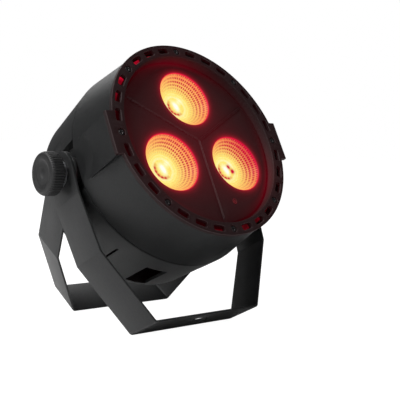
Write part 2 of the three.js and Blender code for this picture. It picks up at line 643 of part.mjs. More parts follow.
// Bent strap in its own frame: legs hang down -Y from the tilt axis, the strap's width along Z.
function yoke({ face }) {
  const end = STRAP.width / 2;
  const [top, elbow, foot] = face;
  const right = [[top[0], end + PAST], [top[0], -top[1]], [elbow[0], -elbow[1]], [foot[0], -foot[1]]];
  const left = right.map(([x, y]) => [-x, y]).reverse();
  const sharp = [...right, ...left].map(([x, y]) => new THREE.Vector2(x, y));
  const outer = filleted(sharp, STRAP.bend);
  const inner = offset(outer, STRAP.thick);
  const strip = prism(new THREE.Shape([...outer, ...inner.reverse()]), -end, end);
  const roundEnds = rod(end, -FAR, FAR, 0, 0, 32).rotate([0, 90, 0]);
  const outline = join(box([-FAR, FAR], [-foot[1] - PAST, 0], [-end, end]), roundEnds);
  const bore = rod(STRAP.hole, -FAR, FAR, 0, 0, 20).rotate([0, 90, 0]);
  const corner = STRAP.slotWidth / 2 - 0.01;
  const slot = prism(roundedRectangle(STRAP.slotLength, STRAP.slotWidth, corner),
    -foot[1] - STRAP.width, -elbow[1]);
  return cut(strip.intersect(outline), bore, slot.rotate([-90, 0, 0]).translate([0, 0, STRAP.slotShift]));
}

function yokes() {
  place(parts.front, 'front_yoke', yoke(FRONT_YOKE), blackSteel);
  place(parts.rear, 'rear_yoke', yoke(REAR_YOKE), blackSteel);
}

// ---- assembly ----------------------------------------------------------------------------

frontRing();
ringScrews();
facePlate();
lightUnits();
ledBoard();
heatsink();
pillars();
infraredReceiver();
frontShell();
rearShell();
backPanel();
panelScrews();
display();
buttons();
dmxSocket('dmx_input', DMX.x, true);
dmxSocket('dmx_output', -DMX.x, false);
powerInlet();
electronics();
clamp(-1, 'left');
clamp(1, 'right');
yokes();

parts.head.rotation.x = rad(90 - HEAD_TILT);
parts.front.rotation.x = rad(90 - FRONT_YOKE.lean);
parts.rear.rotation.x = rad(90 + REAR_YOKE.lean);

const group = new THREE.Group();
group.add(parts.head, parts.front, parts.rear);
for (const part of Object.values(parts)) part.position.set(0, PIVOT.y, PIVOT.z);

export default group;
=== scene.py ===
"""LED par can light on a double yoke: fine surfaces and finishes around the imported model.

Lengths are metres. The head has its own directions: ACROSS along the tilt axis, UP in its face
and AHEAD out of its front. All pieces are worked out as grids of points in those directions.
"""

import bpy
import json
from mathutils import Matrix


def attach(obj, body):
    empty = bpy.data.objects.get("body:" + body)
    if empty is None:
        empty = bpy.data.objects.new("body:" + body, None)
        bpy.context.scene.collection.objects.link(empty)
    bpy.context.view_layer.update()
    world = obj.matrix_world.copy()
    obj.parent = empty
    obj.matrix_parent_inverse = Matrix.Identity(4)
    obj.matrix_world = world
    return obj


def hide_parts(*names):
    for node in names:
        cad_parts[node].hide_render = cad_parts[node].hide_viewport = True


bl_info = {
    "name": "Par can light",
    "version": (1, 0, 0),
    "blender": (4, 5, 0),
    "location": "View3D > Sidebar > Par can",
    "description": "Makes the bezel, lenses, shells, knobs, yokes and finishes of a par can light",
    "category": "Add Mesh",
}

import json
import math

import bmesh
import bpy
import numpy as np
from bpy.props import FloatProperty, FloatVectorProperty, IntProperty, PointerProperty
from mathutils import Matrix, Vector

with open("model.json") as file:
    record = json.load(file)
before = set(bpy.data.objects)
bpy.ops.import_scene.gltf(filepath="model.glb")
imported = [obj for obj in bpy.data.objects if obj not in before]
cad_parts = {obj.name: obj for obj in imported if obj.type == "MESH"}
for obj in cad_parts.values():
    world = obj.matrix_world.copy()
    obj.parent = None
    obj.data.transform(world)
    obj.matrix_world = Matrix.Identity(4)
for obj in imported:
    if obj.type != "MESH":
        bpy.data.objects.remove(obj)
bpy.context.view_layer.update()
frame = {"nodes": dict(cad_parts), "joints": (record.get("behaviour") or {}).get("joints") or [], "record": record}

MM = 0.001
MERGE = 2e-6                      # points closer than this become one
JOINTS = {joint["name"]: joint for joint in frame["joints"]}
MOUNTS = {mount["name"]: mount for mount in frame["record"]["mounts"]}
PIVOT = np.array(JOINTS["head_tilt"]["pos_m"])
ACROSS = np.array([1.0, 0.0, 0.0])
AHEAD = np.array(JOINTS["menu_press"]["axis"])
UP = np.cross(AHEAD, ACROSS)
HEAD = np.stack([ACROSS, UP, AHEAD])
LENS_ANGLES = {"top": 90.0, "left": 210.0, "right": 330.0}


def head_places(points):
    """Points of the model in the head's directions, as distances from the tilt axis."""
    return (points - PIVOT) @ HEAD.T


def extent(node):
    """Lowest and highest corner of a CAD node in the head's directions."""
    mesh = frame["nodes"][node].data
    points = np.empty(len(mesh.vertices) * 3, np.float32)
    mesh.vertices.foreach_get("co", points)
    local = head_places(points.reshape(-1, 3))
    return local.min(0), local.max(0)


FRONT = float(extent("front_ring")[1][2])
SEAM_EDGE = float(extent("rear_shell")[1][2])
REAR = float(extent("rear_shell")[0][2])


# ---- sizes and colours -------------------------------------------------------------------------

def length(name, description, value):
    return FloatProperty(name=name, description=description, default=value, min=0,
                         unit="LENGTH", precision=5)


def degrees(name, description, value):
    return FloatProperty(name=name, description=description, default=math.radians(value),
                         subtype="ANGLE")


def colour(name, description, value):
    return FloatVectorProperty(name=name, description=description, default=value, size=3,
                               min=0, max=1, subtype="COLOR")


class BezelSizes(bpy.types.PropertyGroup):
    """Slotted ring round the face."""
    radius: length("Radius", "Outer edge of the ring", 73 * MM)
    inner: length("Lip", "Inner edge of the ring", 63.6 * MM)
    thick: length("Thickness", "Of the ring's plate", 3 * MM)
    collar: length("Collar", "Wall of the collar behind the lip", 1.8 * MM)
    shelf: length("Shelf", "Inner edge of the shelf under the face plate", 58 * MM)
    shelf_depth: length("Shelf depth", "Behind the ring's front", 9 * MM)
    tab_reach: length("Tab reach", "Flat end of each tab", float(extent("front_ring")[1][0]))
    tab_half: length("Tab half height", "Half the tab's height", 15 * MM)
    slot_orbit: length("Slot circle", "Middle of the slots and screws", 68.4 * MM)
    slot_width: length("Slot width", "Across a slot", 4.2 * MM)
    slot_sweep: degrees("Slot sweep", "Angle that a slot takes", 7.8)
    slot_pitch: degrees("Slot pitch", "Between slots of a group", 12)
    groups: IntProperty(name="Groups", description="Groups of three slots", default=8, min=1)
    screw_hole: length("Screw hole", "Radius of the hole round a ring screw", 2.6 * MM)
    edge: length("Edge", "Rounding of the moulded edges", 0.45 * MM)


class FaceSizes(bpy.types.PropertyGroup):
    """Recessed plate with three lenses."""
    radius: length("Radius", "Outer edge of the plate", 61.5 * MM)
    depth: length("Depth", "Behind the ring's front", 6 * MM)
    thick: length("Thickness", "Of the plate", 2.6 * MM)
    orbit: length("Lens circle", "From the middle to a lens", 33.5 * MM)
    window: length("Window", "Radius of a lens window", 21.2 * MM)
    rib_width: length("Rib width", "Across a rib", 1.15 * MM)
    rib_height: length("Rib height", "Above the plate", 0.6 * MM)
    bowl_depth: length("Bowl depth", "From a lens's rim down to its throat", 12.0 * MM)
    throat: length("Throat", "Radius of the ring round the emitter's image", 7.4 * MM)
    bead: length("Bead pitch", "Between the beads on a lens", 1.7 * MM)


class ShellSizes(bpy.types.PropertyGroup):
    """The two halves of the barrel."""
    front_radius: length("Front radius", "Barrel behind the ring", 71.8 * MM)
    seam_radius: length("Seam radius", "Barrel at its widest", 77.5 * MM)
    rear_radius: length("Rear radius", "Barrel at its rear edge", 74 * MM)
    wall: length("Wall", "Thickness of the shells", 2.2 * MM)
    boss: length("Boss", "Flat of the boss beside the tab", 75.2 * MM)
    boss_half: length("Boss half height", "Half the boss's height", 15 * MM)
    relief: length("Relief", "Flat at the seam that clears the yokes", 76.2 * MM)
    pocket: length("Pocket", "Flat of the clamp pocket", 71.5 * MM)
    pocket_half: length("Pocket half height", "Half the pocket's height", 16.5 * MM)
    flat: length("Flat", "Flat side behind the pocket", 70.8 * MM)
    flat_depth: length("Flat depth", "Where the wide flat starts, behind the ring's front", 61 * MM)
    vent_angle: degrees("Vent angle", "Direction of the left vent window", 253)
    vent_width: length("Vent width", "Across a vent window", 17 * MM)
    vent_from: length("Vent start", "Behind the ring's front", 61 * MM)
    vent_to: length("Vent end", "Behind the ring's front", 89.5 * MM)
    clip_angle: degrees("Clip angle", "Direction of the first clip slot", 47.3)
    clip_width: length("Clip width", "Across a clip slot", 1.6 * MM)
    clip_from: length("Clip start", "Behind the ring's front", 58.7 * MM)
    clip_to: length("Clip end", "Behind the ring's front", 75 * MM)
    edge: length("Rear edge", "Rounding of the rear edge", 2.5 * MM)


class ClampSizes(bpy.types.PropertyGroup):
    """Ribbed knobs on the tilt axis."""
    radius: length("Radius", "Over the ribs", 14.75 * MM)
    rib: length("Rib", "Height of a rib", 0.55 * MM)
    ribs: IntProperty(name="Ribs", description="Round one knob", default=50, min=8)
    grip: length("Grip", "Where the ribs start, along the axis", 85.2 * MM)
    face: length("Face", "Outer end of the knob", float(extent("knob_right")[1][0]))
    neck: length("Neck", "Radius of the neck", 8.5 * MM)
    shoulder: length("Shoulder", "Rounding of the outer edge", 2.2 * MM)
    dish: length("Dish", "Radius of the dished face", 9.8 * MM)
    dish_depth: length("Dish depth", "Of the dished face", 1.0 * MM)


class StrapSizes:
    """Sizes that the two yokes share."""
    knee_drop: length("Straight drop", "Below the axis, where the leg starts to lean", 20 * MM)
    width: length("Width", "Of the strap", 30.2 * MM)
    thick: length("Thickness", "Of the strap", 1.5 * MM)
    bend: length("Bend", "Radius of the bends", 3 * MM)
    hole: length("Hole", "Radius of the stud's hole", 4.4 * MM)
    slot_length: length("Slot length", "Of the slot in the base", 14 * MM)
    slot_width: length("Slot width", "Of the slot in the base", 9 * MM)
    slot_shift: length("Slot shift", "Of the slot from the strap's middle", 2 * MM)


class FrontYokeSizes(StrapSizes, bpy.types.PropertyGroup):
    """Front strap. The points are on its outer face, as half spans and drops from the tilt axis."""
    top: length("Top", "Half span at the tilt axis", 80.4 * MM)
    elbow: length("Elbow", "Half span at the elbow", 75.1 * MM)
    elbow_drop: length("Elbow drop", "Below the axis", 61.2 * MM)
    foot: length("Foot", "Half span at the foot", 46.6 * MM)
    foot_drop: length("Foot drop", "Below the axis", 111.6 * MM)


class RearYokeSizes(StrapSizes, bpy.types.PropertyGroup):
    """Rear strap, which fits inside the front one. Its points are given in the same way."""
    top: length("Top", "Half span at the tilt axis", 78.1 * MM)
    elbow: length("Elbow", "Half span at the elbow", 73.4 * MM)
    elbow_drop: length("Elbow drop", "Below the axis", 58.9 * MM)
    foot: length("Foot", "Half span at the foot", 45.0 * MM)
    foot_drop: length("Foot drop", "Below the axis", 108.9 * MM)


class Finishes(bpy.types.PropertyGroup):
    """Colours of the light's finishes, as linear values."""
    shell: colour("Shell", "Moulded plastic of the shells", (0.0072, 0.0075, 0.0078))
    bezel: colour("Bezel", "Moulded plastic of the ring and face", (0.0080, 0.0062, 0.0064))
    knob: colour("Knob", "Ribbed plastic", (0.0125, 0.0125, 0.0128))
    strap: colour("Strap", "Powder coat of the yokes", (0.0160, 0.0163, 0.0168))
    glow: colour("Glow", "Red light round the lenses", (0.80, 0.004, 0.035))
    amber: colour("Amber", "Outer part of a lit lens", (1.0, 0.30, 0.09))
    yellow: colour("Yellow", "Inner part of a lit lens", (1.0, 0.82, 0.19))
    core: colour("Core", "Emitter's image", (1.0, 0.97, 0.55))
    floor: colour("Floor", "Studio floor", (0.93, 0.93, 0.93))


class ParCan(bpy.types.PropertyGroup):
    """All sizes and finishes of the light."""
    bezel: PointerProperty(type=BezelSizes)
    face: PointerProperty(type=FaceSizes)
    shell: PointerProperty(type=ShellSizes)
    clamp: PointerProperty(type=ClampSizes)
    front_yoke: PointerProperty(type=FrontYokeSizes)
    rear_yoke: PointerProperty(type=RearYokeSizes)
    finish: PointerProperty(type=Finishes)


# ---- surfaces ----------------------------------------------------------------------------------

def polar(radius, turn):
    """Across and up of a place given by its radius and angle."""
    return radius * np.cos(turn), radius * np.sin(turn)


def rotated(x, y, turn):
    """Across and up after a turn about the middle."""
    return x * math.cos(turn) - y * math.sin(turn), x * math.sin(turn) + y * math.cos(turn)


def head_points(x, y, z):
    """Points of the head: the tilt axis plus x ACROSS, y UP and z AHEAD."""
    x, y, z = np.broadcast_arrays(x, y, z)
    return PIVOT + np.stack([x, y, z], -1) @ HEAD


def section(corners, steps=3):
    """Closed outline with rounded corners. Each corner is (a, b, edge), numbers or one value for each
    station. A corner becomes a quadratic curve that starts and ends its edge length away from it,
    but never past the middle of either side. Gives stations x points x 2."""
    size = max((np.shape(part) for corner in corners for part in corner), key=len) or (1,)
    a, b, edge = (np.stack([np.broadcast_to(corner[i], size) for corner in corners], 1) for i in range(3))
    place = np.stack([a, b], -1)
    back = np.roll(place, 1, 1) - place
    ahead = np.roll(place, -1, 1) - place
    sides = [np.linalg.norm(side, axis=-1) for side in (back, ahead)]
    trim = np.minimum(edge, 0.5 * np.minimum(*sides))
    start, end = (place + side * (trim / np.maximum(reach, 1e-12))[..., None]
                  for side, reach in zip((back, ahead), sides))
    t = np.linspace(0, 1, steps)[None, None, :, None]
    start, place, end = (points[:, :, None] for points in (start, place, end))
    curve = (1 - t) ** 2 * start + 2 * t * (1 - t) * place + t ** 2 * end
    return curve.reshape(size[0], -1, 2)


def edge_marks(outline, steps=3):
    """1 at the middle of each rounded corner of an outline, 0 elsewhere."""
    middles = np.arange(outline.shape[1]) % steps == steps // 2
    return np.broadcast_to(middles, outline.shape[:2]).astype(float)


def loft(points, wrap_u=False, wrap_v=False, keep=None):
    """Quads between neighbouring points of a grid. keep, one value for each quad, leaves some out."""
    rows, columns = points.shape[:2]
    u = np.arange(rows if wrap_u else rows - 1)[:, None]
    v = np.arange(columns if wrap_v else columns - 1)[None, :]
    u_next, v_next = (u + 1) % rows, (v + 1) % columns
    here, beyond = u * columns, u_next * columns
    quads = np.stack([here + v, beyond + v, beyond + v_next, here + v_next], -1)
    quads = quads.reshape(-1, 4) if keep is None else quads[keep]
    return points.reshape(-1, 3), quads


def walled(outer, inner, solid):
    """Wall between two grids that wrap in u, with windows where solid is false. A rim quad joins the
    grids along each side of a solid cell that has no solid neighbour there."""
    rows, columns = outer.shape[:2]
    count = rows * columns
    u, v = np.nonzero(solid)
    corner = {(i, j): ((u + i) % rows) * columns + v + j for i in (0, 1) for j in (0, 1)}
    a, b, c, d = corner[0, 0], corner[1, 0], corner[1, 1], corner[0, 1]
    quads = [np.stack([a, b, c, d], -1), count + np.stack([d, c, b, a], -1)]
    padded = np.pad(solid, ((0, 0), (1, 1)))
    for du, dv, p, q in ((0, -1, a, b), (1, 0, b, c), (0, 1, c, d), (-1, 0, d, a)):
        bare = ~padded[(u + du) % rows, v + dv + 1]
        quads.append(np.stack([q, p, count + p, count + q], -1)[bare])
    return np.concatenate([outer.reshape(-1, 3), inner.reshape(-1, 3)]), np.concatenate(quads)


def together(*surfaces):
    """Several surfaces as one list of points and one of quads."""
    offsets = np.cumsum([0] + [len(points) for points, _ in surfaces[:-1]])
    return (np.concatenate([points for points, _ in surfaces]),
            np.concatenate([quads + offset for (_, quads), offset in zip(surfaces, offsets)]))


def piece(name, surface, material, body, replaced=(), marks=None, sharp=38):
    """Makes the mesh object: doubles merged, faces turned outwards, sharp edges marked, then sets what
    it rides on, hides the CAD nodes that it stands for and gives it its finish. marks are values at the points."""
    points, quads = surface
    mesh = bpy.data.meshes.new(name)
    mesh.from_pydata(points.tolist(), [], quads.tolist())
    for mark, values in (marks or {}).items():
        layer = mesh.attributes.new(mark, "FLOAT", "POINT").data
        layer.foreach_set("value", values.ravel().astype(np.float32))
    work = bmesh.new()
    work.from_mesh(mesh)
    bmesh.ops.remove_doubles(work, verts=work.verts, dist=MERGE)
    bmesh.ops.dissolve_degenerate(work, edges=work.edges, dist=MERGE)
    loose = [vertex for vertex in work.verts if not vertex.link_faces]
    bmesh.ops.delete(work, geom=loose, context="VERTS")
    bmesh.ops.recalc_face_normals(work, faces=work.faces)
    work.to_mesh(mesh)
    work.free()
    mesh.polygons.foreach_set("use_smooth", np.ones(len(mesh.polygons), bool))
    mesh.set_sharp_from_angle(angle=math.radians(sharp))
    mesh.materials.append(material)
    made = bpy.data.objects.new(name, mesh)
    bpy.context.scene.collection.objects.link(made)
    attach(made, body)
    if replaced:
        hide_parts(*replaced)
    return made


def turned(profile, angles, place):
    """Closed outline of (radius, height) turned about an axis; place puts its points in the model."""
    radius, height = profile[None, :, 0], profile[None, :, 1]
    turn = angles[:, None]
    return loft(place(*polar(radius, turn), height + 0 * turn), True, True)


def superellipse(along, half, width, power):
    """Half width of an opening: width (1 - |along / half| ^ power) ^ (1 / power), or 0 past its ends."""
    share = np.clip(1 - np.abs(along / half) ** power, 0, None)
    return width * share ** (1 / power)


def spaced(half, steps=12):
    """Stations from -half to half, closer at the ends: half times the sine of an even angle."""
    return half * np.sin(np.linspace(-math.pi / 2, math.pi / 2, 2 * steps + 1))


def turn_from(angles, centre):
    """Signed angle from a direction, between half a turn either way."""
    return (angles - centre + math.pi) % (2 * math.pi) - math.pi


def lamp_glow(x, y, reach):
    """Light that spills from the lenses at a place on the face: the sum over the lenses of
    exp(-distance from the window's edge / reach)."""
    face = bpy.context.scene.par_can.face
    total = 0
    for angle in LENS_ANGLES.values():
        x0, y0 = polar(face.orbit, math.radians(angle))
        away = np.hypot(x - x0, y - y0) - face.window
        total = total + np.exp(-np.maximum(away, 0) / reach)
    return total


def head_marks(points, near=1.7 * MM, far=16 * MM):
    """Glow at points of the head: a narrow bright spill and a wide faint one."""
    x, y, _ = head_places(points).T
    return 0.80 * lamp_glow(x, y, near) ** 1.3 + 0.11 * lamp_glow(x, y, far)


# ---- shader maths ------------------------------------------------------------------------------

class Value:
    """A shader output that can stand in sums and products. Each one adds a Math node."""

    def __init__(self, recipe, socket):
        self.recipe = recipe
        self.socket = socket

    def _with(self, operation, first, second):
        return self.recipe.node("ShaderNodeMath", {"operation": operation}, {0: first, 1: second})

    def __add__(self, other):
        return self._with("ADD", self, other)

    def __sub__(self, other):
        return self._with("SUBTRACT", self, other)

    def __rsub__(self, other):
        return self._with("SUBTRACT", other, self)

    def __mul__(self, other):
        return self._with("MULTIPLY", self, other)

    __radd__ = __add__
    __rmul__ = __mul__


class Recipe:
    """One material: its nodes, and the Principled shader that they feed."""

    def __init__(self, name, **constants):
        self.material = bpy.data.materials.new(name)
        self.material.use_nodes = True
        self.tree = self.material.node_tree
        self.shader = self.tree.nodes["Principled BSDF"]
        for socket, value in constants.items():
            self.shader.inputs[socket.replace("_", " ")].default_value = value
        self.place = self.node("ShaderNodeTexCoord", out="Object")

    def node(self, kind, settings=None, inputs=None, out=0):
        """Adds a node: its settings first, then the values or links of its sockets."""
        made = self.tree.nodes.new(kind)
        for name, value in (settings or {}).items():
            if name == "stops":
                self._stops(made.color_ramp, value)
            else:
                setattr(made, name, value)
        for socket, value in (inputs or {}).items():
            if isinstance(value, Value):
                self.tree.links.new(value.socket, made.inputs[socket])
            else:
                made.inputs[socket].default_value = value
        return Value(self, made.outputs[out])

    @staticmethod
    def _stops(ramp, stops):
        while len(ramp.elements) < len(stops):
            ramp.elements.new(1.0)
        for element, (position, shade) in zip(ramp.elements, stops):
            element.position = position
            element.color = (*shade, 1)

    def noise(self, scale, detail=2.0, roughness=0.5):
        return self.node("ShaderNodeTexNoise", None,
                         {"Vector": self.place, "Scale": scale, "Detail": detail, "Roughness": roughness})

    def mark(self, name):
        return self.node("ShaderNodeAttribute", {"attribute_name": name}, out="Fac")

    def mix(self, share, first, second):
        colours = {0: share, 6: rgba(first), 7: rgba(second)}
        return self.node("ShaderNodeMix", {"data_type": "RGBA"}, colours, out=2)

    def ramp(self, value, stops):
        return self.node("ShaderNodeValToRGB", {"stops": stops}, {"Fac": value})

    def clamp(self, value):
        return self.node("ShaderNodeClamp", None, {"Value": value})

    def bump(self, height, depth, strength):
        return self.node("ShaderNodeBump", None,
                         {"Height": height, "Distance": depth, "Strength": strength})

    def feed(self, **links):
        for socket, value in links.items():
            self.tree.links.new(value.socket, self.shader.inputs[socket.replace("_", " ")])
        return self.material


def rgba(shade):
    """A colour with an alpha of 1, or a link as it is."""
    return shade if isinstance(shade, Value) else (*shade, 1)


def times(shade, factor):
    return tuple(min(1.0, part * factor) for part in shade)


EDGE_WEAR_AND_HIGHLIGHT = 6.0                   # how much paler a fully marked edge is, as a share of its colour: wear and painted highlight


def grained(name, shade, roughness, grain, depth, mottle=0.22, specular=0.5, glow=None):
    """Matt moulded or coated black: a fine grain in the normal, a faint mottle in the colour, and
    rubbed patches that are a little smoother and lighter. The mark edge paints paler edges, partly wear
    and partly painted highlight, and glow is the colour of a painted red light on it."""
    recipe = Recipe(name, Specular_IOR_Level=specular)
    fine = recipe.noise(1 / grain, 3.0, 0.62)
    cloud = recipe.noise(28.0, 3.0, 0.55)
    speck = recipe.noise(0.45 / grain, 1.0)
    rubbed = recipe.clamp((cloud - 0.52) * 4.0)
    spots = recipe.clamp((speck - 0.5) * 1.6 + 0.5)
    base = recipe.mix(spots, times(shade, 1 - mottle), times(shade, 1 + mottle))
    dusty = recipe.mix(rubbed * 0.35, base, times(shade, 1.45))
    # Paler edges where the mark edge is: partly wear, partly painted highlight.
    edges = recipe.clamp(recipe.mark("edge") * (0.55 + speck * 0.6))
    wear_and_highlight = recipe.mix(edges, dusty, times(shade, 1 + EDGE_WEAR_AND_HIGHLIGHT))
    links = {
        "Base_Color": wear_and_highlight,
        "Roughness": recipe.clamp(roughness + (fine - 0.5) * 0.12 - rubbed * 0.05),
        "Normal": recipe.bump(fine + cloud * 0.2, depth, 0.55),
    }
    if glow:
        recipe.shader.inputs["Emission Strength"].default_value = 1.0
        links["Emission_Color"] = recipe.mix(recipe.clamp(recipe.mark("glow")), (0, 0, 0), glow)
    return recipe.feed(**links)


def metal(name, shade, roughness, brushed=900.0):
    """Bright metal with fine brush marks and a few duller patches."""
    recipe = Recipe(name, Metallic=1.0)
    marks = recipe.noise(brushed, 4.0, 0.7)
    patches = recipe.noise(160.0, 2.0)
    base = recipe.mix(recipe.clamp((patches - 0.4) * 2.0), times(shade, 0.72), shade)
    return recipe.feed(Base_Color=base, Roughness=recipe.clamp(roughness + (marks - 0.5) * 0.3),
                       Normal=recipe.bump(marks, 0.02 * MM, 0.3))


def lit_lens(finish):
    """Glowing collimator: the mark warmth runs from rim to core through red, amber, yellow and near
    white, and the mark bead is the share of crimson on the beads and arcs."""
    recipe = Recipe("lit_lens", Roughness=0.45, Emission_Strength=1.0, Specular_IOR_Level=0.08,
                    Base_Color=(0.004, 0.001, 0.001, 1))
    grain = recipe.noise(950.0, 2.0)
    share = recipe.clamp(recipe.mark("warmth") + (grain - 0.5) * 0.30)
    warm = recipe.ramp(share, [(0.0, (0.85, 0.008, 0.05)), (0.10, (1.0, 0.07, 0.06)), (0.24, finish.amber),
                               (0.58, finish.yellow), (0.86, finish.core), (1.0, (1.0, 1.0, 0.9))])
    shown = recipe.mix(recipe.clamp(recipe.mark("bead")), warm, (0.62, 0.0, 0.04))
    return recipe.feed(Emission_Color=shown)


def red_leak(finish):
    """Inside of the head behind the slots: red light with dark and bright patches."""
    recipe = Recipe("red_leak", Roughness=0.6, Emission_Strength=1.0, Base_Color=(0.02, 0.001, 0.001, 1))
    patches = recipe.clamp((recipe.noise(190.0, 2.0) - 0.38) * 3.2)
    share = recipe.clamp(recipe.mark("glow") * (0.35 + 0.65 * patches))
    shown = recipe.mix(share, (0.012, 0, 0), finish.glow)
    return recipe.feed(Emission_Color=shown)


def smoked(name):
    """Dark red window, glossy, with faint haze."""
    recipe = Recipe(name, Coat_Weight=0.6)
    haze = recipe.noise(60.0, 2.0)
    return recipe.feed(Base_Color=recipe.mix(haze, (0.010, 0.001, 0.001), (0.024, 0.003, 0.003)),
                       Roughness=0.08 + haze * 0.06)


def circuit_board(name, shade, copper):
    """Solder resist with slightly raised tracks in a second colour."""
    recipe = Recipe(name)
    grid = {"Vector": recipe.place, "Scale": 130.0, "Mortar Size": 0.05}
    colours = {"Color1": rgba(shade), "Color2": rgba(shade), "Mortar": rgba(copper)}
    tracks = recipe.node("ShaderNodeTexBrick", None, {**grid, **colours}, out="Color")
    lines = recipe.node("ShaderNodeTexBrick", None, grid, out="Fac")
    return recipe.feed(Base_Color=tracks, Roughness=0.32 + lines * 0.2,
                       Normal=recipe.bump(lines, 0.05 * MM, 0.4))


def lit(name, dark, bright, strength):
    """Something that gives light, a little brighter in some places."""
    recipe = Recipe(name, Roughness=0.4, Emission_Strength=strength)
    spread = recipe.noise(420.0, 1.0)
    return recipe.feed(Emission_Color=recipe.mix(spread, dark, bright))


MATERIALS = {}


def make_materials(finish):
    glow = tuple(finish.glow)
    MATERIALS.update({
        "shell": grained("shell_plastic", finish.shell, 0.46, 0.55 * MM, 0.07 * MM, mottle=0.34,
                         specular=0.32),
        "bezel": grained("bezel_plastic", finish.bezel, 0.58, 0.5 * MM, 0.05 * MM, glow=glow, specular=0.22),
        "knob": grained("knob_plastic", finish.knob, 0.5, 0.5 * MM, 0.03 * MM, specular=0.35),
        "strap": grained("yoke_powder_coat", finish.strap, 0.46, 0.8 * MM, 0.07 * MM, specular=0.35),
        "panel": grained("panel_powder_coat", (0.020, 0.020, 0.021), 0.5, 0.8 * MM, 0.06 * MM),
        "inner": grained("inner_plastic", (0.012, 0.012, 0.013), 0.45, 0.5 * MM, 0.03 * MM),
        "button": grained("button_plastic", (0.055, 0.055, 0.057), 0.4, 0.5 * MM, 0.03 * MM),
        "rubber": grained("washer_rubber", (0.009, 0.009, 0.009), 0.8, 0.4 * MM, 0.05 * MM, specular=0.3),
        "zinc": metal("zinc_steel", (0.55, 0.56, 0.58), 0.34),
        "aluminium": metal("cast_aluminium", (0.62, 0.63, 0.65), 0.42, 500.0),
        "screw": metal("blackened_screw", (0.055, 0.048, 0.05), 0.42),
        "lens": lit_lens(finish),
        "leak": red_leak(finish),
        "window": smoked("display_window"),
        "digits": lit("display_digits", (0.75, 0.01, 0.01), (1.0, 0.08, 0.03), 1.6),
        "resin": lit("emitter_resin", finish.yellow, finish.core, 1.0),
        "board_green": circuit_board("board_green", (0.02, 0.11, 0.04), (0.10, 0.20, 0.06)),
        "board_white": circuit_board("board_white", (0.72, 0.72, 0.70), (0.60, 0.55, 0.42)),
    })


# ---- bezel and its screws ----------------------------------------------------------------------

def group_angles(bezel):
    return np.arange(bezel.groups) * 2 * math.pi / bezel.groups


def slot_angles(bezel):
    middle = group_angles(bezel)[:, None] + math.pi / bezel.groups
    return (middle + np.array([-1, 0, 1]) * bezel.slot_pitch).ravel()


def bezel_stations(bezel):
    """Angles round the ring: every degree, closer across each slot and screw hole, and the tab corners."""
    hole = bezel.screw_hole / bezel.slot_orbit
    corners = [math.atan2(bezel.tab_half, bezel.tab_reach), math.asin(bezel.tab_half / bezel.radius)]
    tabs = [side + sign * corner for side in (0, math.pi) for sign in (-1, 1) for corner in corners]
    stations = np.concatenate([
        np.radians(np.arange(360.0)),
        (slot_angles(bezel)[:, None] + spaced(bezel.slot_sweep / 2)).ravel(),
        (group_angles(bezel)[:, None] + spaced(hole, 8)).ravel(), tabs])
    return np.unique(np.round(stations % (2 * math.pi), 7))


def bezel_gap(bezel, angles):
    """Half width of the slit along the slot circle: a blunt superellipse at a slot, a circle at a screw."""
    gap = np.zeros_like(angles)
    hole = bezel.screw_hole
    for centres, half, width, power in (
            (slot_angles(bezel), bezel.slot_sweep / 2, bezel.slot_width / 2, 5),
            (group_angles(bezel), hole / bezel.slot_orbit, hole, 2)):
        for centre in centres:
            gap = np.maximum(gap, superellipse(turn_from(angles, centre), half, width, power))
    return gap


def bezel_rim(bezel, angles):
    """Outer edge: the circle, or the straight sides and end of a tab where they stand proud of it."""
    tab = np.minimum(bezel.tab_reach / np.maximum(np.abs(np.cos(angles)), 1e-6),
                     bezel.tab_half / np.maximum(np.abs(np.sin(angles)), 1e-6))
    return np.maximum(bezel.radius, tab)


def rim_wear_and_highlight(bezel, x, y):
    """1 close to the slot rims and on the ring's outer edge: paler rims, partly wear and partly painted highlight.
    """
    away = np.abs(np.hypot(x, y) - bezel.slot_orbit) - bezel.slot_width / 2
    return np.exp(-(away / (0.6 * MM)) ** 2) + (np.hypot(x, y) > bezel.radius - 0.7 * MM)


